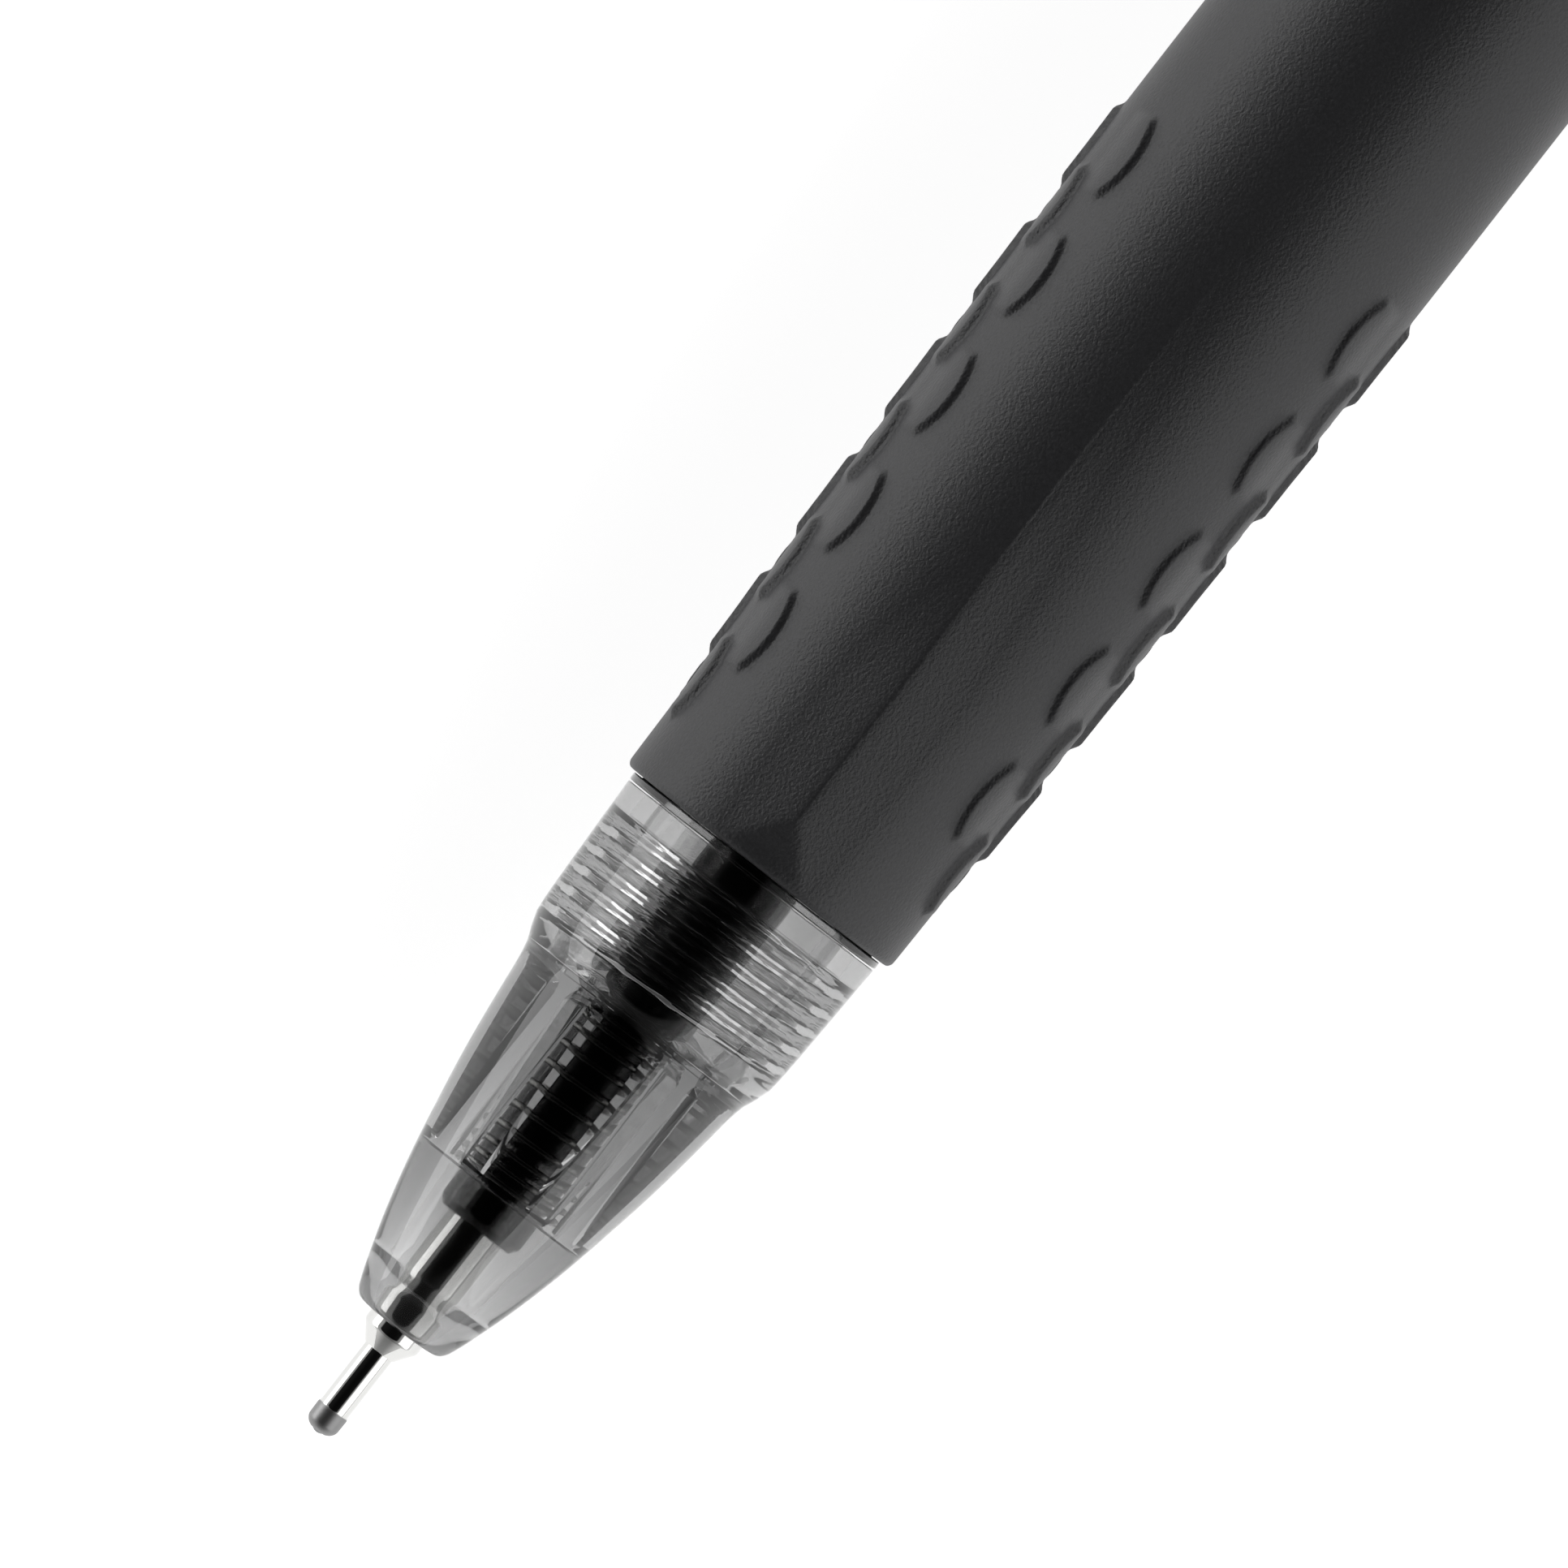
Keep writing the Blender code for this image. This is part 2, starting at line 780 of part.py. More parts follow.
def clip_outline():
    """The clip's side outline round its root's hinge, as (along, out), anticlockwise."""
    hinge_along, hinge_r = CLIP_HINGE
    half = CLIP_THICK / 2
    top = CLIP_OUTER_R
    under = CLIP_OUTER_R - CLIP_THICK
    points = [
        (hinge_along - half, hinge_r - 0.1),
        (hinge_along + half, hinge_r - 0.1),
        (hinge_along + half, top - CLIP_BEND_R),
    ]
    for i in range(1, 5):
        turn = math.pi / 2 * i / 4
        along = hinge_along + half - CLIP_BEND_R * (1 - math.cos(turn))
        points.append((along, top - CLIP_BEND_R * (1 - math.sin(turn))))
    points += [
        (CLIP_BEND, top),
        (CLIP_BEND - 0.9, top - 0.3),
        (CLIP_BUMP + 0.3, CLIP_BUMP_R + CLIP_THICK + 0.3),
        (CLIP_BUMP - 0.5, CLIP_BUMP_R + CLIP_THICK + 0.15),
        (CLIP_FRONT, CLIP_FRONT_R),
        (CLIP_FRONT, CLIP_FRONT_R - CLIP_THICK),
        (CLIP_BUMP - 0.6, CLIP_BUMP_R + 0.1),
        (CLIP_BUMP, CLIP_BUMP_R),
        (CLIP_BUMP + 0.6, CLIP_BUMP_R + 0.2),
        (CLIP_BEND - 0.4, under - 0.3),
        (CLIP_BEND + 0.4, under),
        (hinge_along - half - 0.4, under),
        (hinge_along - half, under - 0.4),
    ]
    return [(along - hinge_along, out - hinge_r) for along, out in points]


def make_clip(bench):
    """The steel clip: a bent strip whose root leg stands in the end cap's slot."""
    curve = bpy.data.curves.new("clip", "CURVE")
    curve.dimensions = "2D"
    curve.fill_mode = "BOTH"
    curve.extrude = CLIP_WIDTH / 2 * MM
    line = curve.splines.new("POLY")
    line.use_cyclic_u = True
    outline = clip_outline()
    line.points.add(len(outline) - 1)
    for point, (along, out) in zip(line.points, outline):
        point.co = (along * MM, out * MM, 0, 1)
    clip = bench.add("clip", curve, "stainless_steel")
    hinge_along, hinge_r = CLIP_HINGE
    tilt = math.radians(CLIP_TILT)
    outward = (math.cos(tilt), math.sin(tilt), 0)
    across = (-math.sin(tilt), math.cos(tilt), 0)
    turn = Matrix(((0, 0, 1), outward, across)).transposed().to_4x4()
    reach = hinge_r * MM
    place = Matrix.Translation((reach * outward[0], reach * outward[1], hinge_along * MM))
    clip.matrix_local = place @ turn


def shade_round_parts(group):
    """Smooth shading on every turned part, with its edges kept sharp."""
    for part in group.objects:
        if part.type == "MESH" and part.data.polygons:
            part.data.shade_smooth()
            part.data.set_sharp_from_angle(angle=math.radians(35))


def main():
    """Build the whole pen."""
    clear_scene()
    bench = Bench()
    make_tip(bench)
    make_refill(bench)
    make_nose(bench)
    make_barrel(bench)
    make_grip(bench)
    make_knock(bench)
    make_rear(bench)
    make_clip(bench)
    shade_round_parts(bench.parts)
    bpy.context.view_layer.update()


main()
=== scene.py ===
"""Studio scene of a retractable gel pen that lies on its side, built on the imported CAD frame.

Each piece is drawn in the pen's own frame, in millimetres: X runs along the pen from the front of the
writing ball, and the axis lies at Y = Z = 0 with Z up. Shape.finish scales it to metres and moves it on
to the frame. An angle about the axis is measured from straight down towards +Y, so that the side that
faces up is at 180 degrees.
"""

import logging
import math
from dataclasses import dataclass
from enum import Enum
from typing import Callable, Optional, Sequence

import bmesh
import bpy
from mathutils import Matrix, Vector


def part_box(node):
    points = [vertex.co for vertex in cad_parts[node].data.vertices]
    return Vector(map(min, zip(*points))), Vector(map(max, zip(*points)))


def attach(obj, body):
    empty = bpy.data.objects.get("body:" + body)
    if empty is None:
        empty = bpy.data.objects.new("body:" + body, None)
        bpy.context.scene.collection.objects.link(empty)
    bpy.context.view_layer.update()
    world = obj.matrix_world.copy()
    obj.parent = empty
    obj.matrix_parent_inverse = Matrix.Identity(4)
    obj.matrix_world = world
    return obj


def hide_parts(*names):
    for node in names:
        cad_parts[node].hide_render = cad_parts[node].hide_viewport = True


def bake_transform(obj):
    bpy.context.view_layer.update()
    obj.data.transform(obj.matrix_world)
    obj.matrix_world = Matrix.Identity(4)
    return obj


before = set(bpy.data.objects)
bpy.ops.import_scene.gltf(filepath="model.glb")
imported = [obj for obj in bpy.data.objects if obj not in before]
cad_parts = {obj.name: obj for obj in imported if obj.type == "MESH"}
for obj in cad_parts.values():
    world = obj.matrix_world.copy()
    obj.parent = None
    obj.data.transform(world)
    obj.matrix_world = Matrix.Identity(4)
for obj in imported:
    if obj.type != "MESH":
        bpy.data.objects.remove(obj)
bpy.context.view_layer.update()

logging.basicConfig(level=logging.INFO, format="%(name)s: %(message)s")
log = logging.getLogger("gel_pen")

MM = 0.001
Outline = list[tuple[float, float]]
Corner = tuple[float, float, float]
Radius = Callable[[float, float, float], float]

BALL_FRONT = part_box("writing_ball")[0].x
BARREL_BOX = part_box("barrel")
AXIS = Vector((BALL_FRONT, (BARREL_BOX[0].y + BARREL_BOX[1].y) / 2, (BARREL_BOX[0].z + BARREL_BOX[1].z) / 2))


class Body(Enum):
    """The CAD bodies that pieces ride on."""

    PEN = "pen_body"
    BUTTON = "button"
    REFILL = "refill"
    ROTOR = "rotor"
    BALL = "ball"
    NOSE = "nose"
    CLIP = "clip_arm"


class Slot(Enum):
    """The record's material slots."""

    CLEAR = "clear_smoke_plastic"
    RUBBER = "grip_rubber"
    STEEL = "stainless_steel"
    SPRING = "spring_steel"
    CARBIDE = "tungsten_carbide"
    BLACK = "black_plastic"
    NATURAL = "natural_plastic"
    INK = "gel_ink"
    GREASE = "grease"


# ---------------------------------------------------------------------------
# Numbers


def smooth(low: float, high: float, value: float) -> float:
    """An even S between two places.

    Args:
        low: the place up to which it is 0.
        high: the place from which it is 1.
        value: where it is read.

    Returns:
        A share from 0 to 1.
    """
    share = min(1.0, max(0.0, (value - low) / (high - low)))
    return share * share * (3 - 2 * share)


def linear_color(code: str) -> tuple[float, float, float, float]:
    """Turn an sRGB hex colour to scene-linear RGBA.

    Args:
        code: the colour, such as "#8090A0".

    Returns:
        Red, green, blue and an alpha of 1.
    """
    parts = [int(code[i : i + 2], 16) / 255 for i in (1, 3, 5)]
    linear = [p / 12.92 if p <= 0.04045 else ((p + 0.055) / 1.055) ** 2.4 for p in parts]
    return (linear[0], linear[1], linear[2], 1.0)


def through(points: Outline, step: float) -> Outline:
    """A smooth curve through (along, radius) points, as points about step apart.

    Args:
        points: the points to pass through, in order along the pen.
        step: the distance between points of the result, in mm.

    Returns:
        Points on a Catmull-Rom curve.
    """
    found = []
    last = len(points) - 1
    for i in range(last):
        (x0, r0), (x1, r1) = points[i], points[i + 1]
        before = points[max(0, i - 1)]
        after = points[min(last, i + 2)]
        slope0 = (r1 - before[1]) / (x1 - before[0])
        slope1 = (after[1] - r0) / (after[0] - x0)
        count = max(1, round((x1 - x0) / step))
        for k in range(count):
            t = k / count
            rise = (x1 - x0) * t * (1 - t) * (slope0 * (1 - t) - slope1 * t)
            blend = t * t * (3 - 2 * t)
            found.append((x0 + (x1 - x0) * t, r0 + (r1 - r0) * blend + rise))
    found.append(points[last])
    return found


def rounded(corners: Sequence[Corner], closed: bool = True, arc: int = 4) -> Outline:
    """An outline with each corner rounded.

    Args:
        corners: (along, radius, size of the corner's round) in order.
        closed: whether the last corner joins the first.
        arc: how many segments each round has.

    Returns:
        The outline's points.
    """
    found: Outline = []
    count = len(corners)
    for i, (x, r, size) in enumerate(corners):
        ends = not closed and i in (0, count - 1)
        if size <= 0 or ends:
            found.append((x, r))
            continue
        here = Vector((x, r))
        back = Vector(corners[i - 1][:2]) - here
        ahead = Vector(corners[(i + 1) % count][:2]) - here
        reach = min(size, 0.48 * back.length, 0.48 * ahead.length)
        start = here + back.normalized() * reach
        stop = here + ahead.normalized() * reach
        for k in range(arc + 1):
            t = k / arc
            point = start * (1 - t) ** 2 + here * 2 * t * (1 - t) + stop * t * t
            found.append((point.x, point.y))
    return found


def refined(points: Outline, step: float) -> Outline:
    """Split the segments of an outline that are too long.

    Args:
        points: the outline's points, in order.
        step: the longest that a segment may be, in mm.

    Returns:
        The same outline with more points.
    """
    found: Outline = [points[0]]
    for (x0, r0), (x1, r1) in zip(points, points[1:]):
        count = max(1, math.ceil(math.hypot(x1 - x0, r1 - r0) / step))
        for k in range(1, count + 1):
            found.append((x0 + (x1 - x0) * k / count, r0 + (r1 - r0) * k / count))
    return found


# ---------------------------------------------------------------------------
# Shapes


class Shape:
    """A mesh under construction in the pen's frame."""

    def __init__(self) -> None:
        """Start an empty mesh."""
        self.mesh = bmesh.new()

    @classmethod
    def lathe(cls, outline: Outline, steps: int, closed: bool = True) -> "Shape":
        """Turn an outline of (along, radius) about the axis.

        Args:
            outline: the points in order. An open outline starts and ends on the axis.
            steps: segments round the axis.
            closed: whether the last point joins the first, as on a tube.

        Returns:
            The turned shape.
        """
        shape = cls()
        corners = [shape.mesh.verts.new((x, 0.0, -r)) for x, r in outline]
        pairs = list(zip(corners, corners[1:]))
        if closed:
            pairs.append((corners[-1], corners[0]))
        edges = [shape.mesh.edges.new(pair) for pair in pairs]
        bmesh.ops.spin(
            shape.mesh,
            geom=[*corners, *edges],
            cent=(0, 0, 0),
            axis=(-1, 0, 0),
            dvec=(0, 0, 0),
            angle=2 * math.pi,
            steps=steps,
            use_merge=True,
        )
        bmesh.ops.remove_doubles(shape.mesh, verts=shape.mesh.verts, dist=1e-4)
        return shape

    @classmethod
    def skin(cls, sections: Sequence[Sequence[Vector]]) -> "Shape":
        """Join closed sections in order, with a flat face at each end.

        Args:
            sections: the sections, each with as many points as the next.

        Returns:
            The skinned shape.
        """
        shape = cls()
        rings = [[shape.mesh.verts.new(point) for point in section] for section in sections]
        for one, other in zip(rings, rings[1:]):
            for k in range(len(one)):
                n = (k + 1) % len(one)
                shape.mesh.faces.new((one[k], one[n], other[n], other[k]))
        shape.mesh.faces.new(list(reversed(rings[0])))
        shape.mesh.faces.new(rings[-1])
        return shape

    @classmethod
    def sweep(cls, path: Sequence[Vector], section: Outline, up: Vector) -> "Shape":
        """Carry a closed section along a path, with flat ends.

        Args:
            path: the path's points.
            section: (side, up) points of the section, anticlockwise as seen against the path.
            up: the direction that the section's up leans towards.

        Returns:
            The swept shape.
        """
        sections = []
        for i, point in enumerate(path):
            ahead = path[min(i + 1, len(path) - 1)] - path[max(i - 1, 0)]
            side = ahead.cross(up).normalized()
            rise = side.cross(ahead).normalized()
            sections.append([point + side * a + rise * b for a, b in section])
        return cls.skin(sections)

    def bend(self, radius: Radius) -> "Shape":
        """Move every point in or out from the axis.

        Args:
            radius: gives the new radius from (along, angle in radians, old radius).

        Returns:
            This shape.
        """
        for vert in self.mesh.verts:
            x, y, z = vert.co
            old = math.hypot(y, z)
            if old < 1e-6:
                continue
            new = radius(x, math.atan2(y, -z), old)
            vert.co = (x, y * new / old, z * new / old)
        return self

    def crowd(self, amount: float) -> "Shape":
        """Draw the segments round the axis together on the side that faces up.

        Args:
            amount: from 0, even, towards 1, all of them on top.

        Returns:
            This shape.
        """
        for vert in self.mesh.verts:
            x, y, z = vert.co
            radius = math.hypot(y, z)
            if radius < 1e-6:
                continue
            turn = math.atan2(y, z)
            turn -= amount * math.sin(turn)
            vert.co = (x, radius * math.sin(turn), radius * math.cos(turn))
        return self

    def finish(
        self, name: str, material: bpy.types.Material, sharp: float = 40.0
    ) -> bpy.types.Object:
        """Make the object, in metres and in the frame's place.

        Args:
            name: the object's name.
            material: its material.
            sharp: edges that turn by more than this many degrees stay sharp.

        Returns:
            The object, at the origin, unscaled and unturned.
        """
        bmesh.ops.remove_doubles(self.mesh, verts=self.mesh.verts, dist=1e-5)
        bmesh.ops.recalc_face_normals(self.mesh, faces=self.mesh.faces)
        place = Matrix.Translation(AXIS) @ Matrix.Diagonal((MM, MM, MM, 1))
        bmesh.ops.transform(self.mesh, matrix=place, verts=self.mesh.verts)
        data = bpy.data.meshes.new(name)
        self.mesh.to_mesh(data)
        self.mesh.free()
        data.materials.append(material)
        data.shade_smooth()
        data.set_sharp_from_angle(angle=math.radians(sharp))
        piece = bpy.data.objects.new(name, data)
        bpy.context.scene.collection.objects.link(piece)
        log.info("%s: %d faces", name, len(data.polygons))
        return piece


def fit(piece: bpy.types.Object, body: Body, node: str) -> None:
    """Let a piece ride on its body, in place of the CAD node that it stands for.

    Args:
        piece: the finished piece.
        body: the body that carries it.
        node: the CAD node.
    """
    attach(piece, body.value)
    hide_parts(node)


# ---------------------------------------------------------------------------
# Materials


def add_node(
    tree: bpy.types.NodeTree, kind: str, inputs: Optional[dict] = None, **settings
) -> bpy.types.Node:
    """Add a shader node.

    Args:
        tree: the node tree.
        kind: the node's type, such as "ShaderNodeBump".
        inputs: a value or an output socket for each input, by name, or by number on a Mix node, whose
            inputs for numbers are 2 and 3 and for colours 6 and 7.
        **settings: the node's own settings.

    Returns:
        The node.
    """
    node = tree.nodes.new(kind)
    for key, value in settings.items():
        setattr(node, key, value)
    for key, value in (inputs or {}).items():
        if isinstance(value, bpy.types.NodeSocket):
            tree.links.new(value, node.inputs[key])
        else:
            node.inputs[key].default_value = value
    return node


def pen_coordinates(
    tree: bpy.types.NodeTree, scale: Sequence[float] = (1, 1, 1)
) -> bpy.types.NodeSocket:
    """Place a pattern on the pen.

    Args:
        tree: the node tree.
        scale: how much to stretch each axis of the result.

    Returns:
        Object coordinates in millimetres from the front of the pen's axis, times scale.
    """
    place = add_node(tree, "ShaderNodeTexCoord")
    factors = [s / MM for s in scale]
    moved = add_node(
        tree,
        "ShaderNodeMapping",
        {
            "Vector": place.outputs["Object"],
            "Location": [-a * f for a, f in zip(AXIS, factors)],
            "Scale": factors,
        },
    )
    return moved.outputs["Vector"]


@dataclass(frozen=True)
class Finish:
    """A finish in one uniform colour. Subclasses add texture to it."""

    name: str
    color: str
    roughness: float
    ior: float = 1.5
    metallic: float = 0.0
    transmission: float = 0.0

    def build(self) -> bpy.types.Material:
        """Make the material on first use.

        Returns:
            The material.
        """
        if self.name in bpy.data.materials:
            return bpy.data.materials[self.name]
        made = bpy.data.materials.new(self.name)
        made.use_nodes = True
        tree = made.node_tree
        shader = tree.nodes["Principled BSDF"]
        shader.inputs["Base Color"].default_value = linear_color(self.color)
        shader.inputs["Roughness"].default_value = self.roughness
        shader.inputs["IOR"].default_value = self.ior
        shader.inputs["Metallic"].default_value = self.metallic
        shader.inputs["Transmission Weight"].default_value = self.transmission
        self.detail(tree, shader)
        log.info("material %s", self.name)
        return made

    def detail(self, tree: bpy.types.NodeTree, shader: bpy.types.Node) -> None:
        """Add this finish's texture.

        Args:
            tree: the node tree.
            shader: the tree's main shader.
        """


@dataclass(frozen=True)
class Grained(Finish):
    """A finish with fine bumps, such as a spark-eroded mould leaves."""

    grain_mm: float = 0.12
    height_mm: float = 0.006
    mottle: float = 0.0

    def detail(self, tree: bpy.types.NodeTree, shader: bpy.types.Node) -> None:
        """Add bumps of two sizes, and a slight mottle in the colour.

        Args:
            tree: the material's node tree.
            shader: its Principled node.
        """
        place = pen_coordinates(tree)
        grain = {"Vector": place, "Scale": 1 / self.grain_mm, "Detail": 2.0, "Roughness": 0.6}
        fine = add_node(tree, "ShaderNodeTexNoise", grain)
        bumps = {"Height": fine.outputs["Fac"], "Distance": self.height_mm * MM, "Strength": 1.0}
        bump = add_node(tree, "ShaderNodeBump", bumps)
        tree.links.new(bump.outputs["Normal"], shader.inputs["Normal"])
        if self.mottle > 0:
            dark = [c * (1 - self.mottle) for c in linear_color(self.color)[:3]]
            light = [c * (1 + self.mottle) for c in linear_color(self.color)[:3]]
            colors = {0: fine.outputs["Fac"], 6: (*dark, 1.0), 7: (*light, 1.0)}
            mix = add_node(tree, "ShaderNodeMix", colors, data_type="RGBA")
            tree.links.new(mix.outputs[2], shader.inputs["Base Color"])


@dataclass(frozen=True)
class TurnedMetal(Finish):
    """Metal with the faint rings that turning and grinding leave round the axis."""

    ring_mm: float = 0.02
    spread: float = 0.06

    def detail(self, tree: bpy.types.NodeTree, shader: bpy.types.Node) -> None:
        """Add roughness that changes from ring to ring.

        Args:
            tree: the material's node tree.
            shader: its Principled node.
        """
        place = pen_coordinates(tree, (1 / self.ring_mm, 0.4, 0.4))
        rings = add_node(tree, "ShaderNodeTexNoise", {"Vector": place, "Scale": 1.0, "Detail": 3.0})
        rough = add_node(
            tree,
            "ShaderNodeMapRange",
            {
                "Value": rings.outputs["Fac"],
                "From Min": 0.3,
                "From Max": 0.7,
                "To Min": self.roughness - self.spread / 2,
                "To Max": self.roughness + self.spread,
            },
        )
        tree.links.new(rough.outputs["Result"], shader.inputs["Roughness"])


@dataclass(frozen=True)
class Tinted(Finish):
    """Clear plastic that takes light away along the path through it."""

    tint: str = "#808080"
    dark_per_mm: float = 0.2

    def detail(self, tree: bpy.types.NodeTree, shader: bpy.types.Node) -> None:
        """Add absorption inside the plastic.

        Args:
            tree: the material's node tree.
            shader: its Principled node.
        """
        density = self.dark_per_mm / MM
        inside = add_node(
            tree, "ShaderNodeVolumeAbsorption", {"Color": linear_color(self.tint), "Density": density}
        )
        output = next(node for node in tree.nodes if node.type == "OUTPUT_MATERIAL")
        tree.links.new(inside.outputs["Volume"], output.inputs["Volume"])


@dataclass(frozen=True)
class CrimpedMetal(TurnedMetal):
    """Turned metal whose front end was left dull when it was spun in over the ball."""

    dull_to_mm: float = 0.98
    dull_color: str = "#8C8C8C"
    dull_roughness: float = 0.42

    def detail(self, tree: bpy.types.NodeTree, shader: bpy.types.Node) -> None:
        """Add a duller, darker end in front of dull_to_mm.

        Args:
            tree: the material's node tree.
            shader: its Principled node.
        """
        super().detail(tree, shader)
        polished = shader.inputs["Roughness"].links[0].from_socket
        place = add_node(tree, "ShaderNodeSeparateXYZ", {"Vector": pen_coordinates(tree)})
        front = add_node(
            tree,
            "ShaderNodeMapRange",
            {
                "Value": place.outputs["X"],
                "From Min": self.dull_to_mm + 0.02,
                "From Max": self.dull_to_mm - 0.02,
            },
        )
        share = front.outputs["Result"]
        levels = {0: share, 2: polished, 3: self.dull_roughness}
        rough = add_node(tree, "ShaderNodeMix", levels, data_type="FLOAT")
        tree.links.new(rough.outputs[0], shader.inputs["Roughness"])
        colors = {0: share, 6: linear_color(self.color), 7: linear_color(self.dull_color)}
        color = add_node(tree, "ShaderNodeMix", colors, data_type="RGBA")
        tree.links.new(color.outputs[2], shader.inputs["Base Color"])


# Smoke-grey polycarbonate from a polished mould: sharp highlights, and grey that deepens with the path.
CLEAR = Tinted(
    "smoky_polycarbonate", "#F8F8F8", 0.01, ior=1.585, transmission=1.0, tint="#202224", dark_per_mm=0.40
)
# The refill's holder, with more pigment, so that its thick parts look nearly black.
SMOKE = Tinted(
    "smoky_holder_plastic", "#E8E8E8", 0.04, ior=1.5, transmission=1.0, tint="#202224", dark_per_mm=1.6
)

# Thermoplastic rubber from a spark-eroded mould: a matt, faintly speckled surface with a wide sheen. The
# real grain is about 0.05 mm, and is drawn coarser so that it shows.
RUBBER = Grained("moulded_rubber", "#262628", 0.48, ior=1.5, grain_mm=0.12, height_mm=0.03, mottle=0.6)
# The needle's drawn stainless steel: mirror-bright, with a dull grey crimp at the front.
NEEDLE = CrimpedMetal("crimped_stainless", "#DCDCDA", 0.06, metallic=1.0, spread=0.03)
# Turned and tumbled stainless steel: bright, with faint rings that break the reflections.
STEEL = TurnedMetal("polished_stainless", "#DCDCDA", 0.06, metallic=1.0, spread=0.03)
# Drawn spring steel wire: dark grey, with one narrow highlight on each coil.
SPRING = TurnedMetal("drawn_wire", "#7C7C7A", 0.10, metallic=1.0, ring_mm=0.05, spread=0.04)
# Ground tungsten carbide: dark and dull, so that ink clings to it.
CARBIDE = Finish("ground_carbide", "#77787A", 0.25, metallic=1.0)
# Black ABS from a lightly textured mould: a satin gloss.
BLACK = Grained("satin_black_plastic", "#0E0E10", 0.30, ior=1.5, grain_mm=0.2, height_mm=0.002)
# Natural polypropylene, extruded or moulded: clear with a faint milky grey.
NATURAL = Tinted(
    "natural_polypropylene", "#F4F4F2", 0.05, ior=1.49, transmission=1.0, tint="#909088", dark_per_mm=0.15
)
# Black gel ink that wets its tube, so that no bright air gap shows between them.
INK = Finish("wet_black_ink", "#2C2C2E", 0.08, ior=1.4)
# Follower grease: clear and slightly yellow.
GREASE = Finish("clear_grease", "#E9E2C6", 0.10, ior=1.46, transmission=0.9)


# ---------------------------------------------------------------------------
# The pen's sub-assemblies


def dress(
    shape: Shape, name: str, look: Finish, body: Body, node: str, sharp: float = 40.0
) -> None:
    """Finish a shape and fit it in its place.

    Args:
        shape: the shape.
        name: the piece's name.
        look: its finish.
        body: the body that it rides on.
        node: the CAD node that it stands for.
        sharp: edges that turn by more than this many degrees stay sharp.
    """
    fit(shape.finish(name, look.build(), sharp), body, node)


@dataclass
class NeedlePoint:
    """The ball, the needle that holds it, the stem and the pin spring that seats the ball."""

    ball_r: float = 0.35
    needle_r: float = 0.58
    needle_end: float = 5.5
    bore_r: float = 0.38
    cone: tuple[float, float] = (3.53, 4.20)
    stem_r: float = 1.125
    stem_end: float = 12.7

    def build(self) -> None:
        """Build all four pieces."""
        self.ball()
        self.needle()
        self.stem()
        self.pin_spring()

    def ball(self) -> None:
        """The writing ball."""
        shape = Shape()
        bmesh.ops.create_uvsphere(shape.mesh, u_segments=48, v_segments=32, radius=self.ball_r)
        bmesh.ops.translate(shape.mesh, verts=shape.mesh.verts, vec=(self.ball_r, 0, 0))
        dress(shape, "ball", CARBIDE, Body.BALL, "writing_ball")

    def needle(self) -> None:
        """The needle, with its front edge spun in over the ball."""
        r = self.needle_r
        outline = rounded(
            [
                (0.08, 0.30, 0.02), (0.16, 0.46, 0.08), (0.34, r + 0.025, 0.14),
                (0.92, r + 0.035, 0.05), (1.02, r, 0.03), (self.needle_end, r, 0.05),
                (self.needle_end, self.bore_r, 0.03), (1.00, self.bore_r, 0.05), (0.85, 0.22, 0.0),
                (0.68, 0.22, 0.0), (0.56, 0.39, 0.0), (0.35, 0.39, 0.0), (0.21, 0.345, 0.0),
            ]
        )
        dress(Shape.lathe(outline, 96), "needle", NEEDLE, Body.REFILL, "needle_tube")

    def stem(self) -> None:
        """The stem, whose cone is spun down on to the needle."""
        hole = self.needle_r + 0.005
        outline = rounded(
            [
                (self.cone[0], hole + 0.05, 0.03), (self.cone[1], self.stem_r, 0.08),
                (self.stem_end, self.stem_r, 0.06), (self.stem_end, 0.80, 0.03),
                (self.needle_end + 0.3, 0.80, 0.03), (self.needle_end + 0.05, hole, 0.0),
                (self.cone[0], hole, 0.0),
            ]
        )
        dress(Shape.lathe(outline, 128), "stem", STEEL, Body.REFILL, "tip_stem")

    def pin_spring(self) -> None:
        """The fine spring inside the stem, whose straight end pushes the ball forwards."""
        path = [Vector((0.75 + 0.25 * i, 0, 0)) for i in range(20)]
        start, stop = 6.2, 12.2
        for i in range(7 * 24 + 1):
            turn = math.pi * 2 * i / 24
            place = start + (stop - start) * i / (7 * 24)
            path.append(Vector((place, 0.5 * math.sin(turn), -0.5 * math.cos(turn))))
        shape = Shape.sweep(path, ring(0.1, 8), Vector((0.2, 0.7, 0.7)))
        dress(shape, "pin_spring", SPRING, Body.REFILL, "ball_seat_spring")


def ring(radius: float, count: int) -> Outline:
    """A round section.

    Args:
        radius: its radius.
        count: how many points it has.

    Returns:
        The points, in order round the circle.
    """
    turns = [2 * math.pi * k / count for k in range(count)]
    return [(radius * math.cos(t), radius * math.sin(t)) for t in turns]


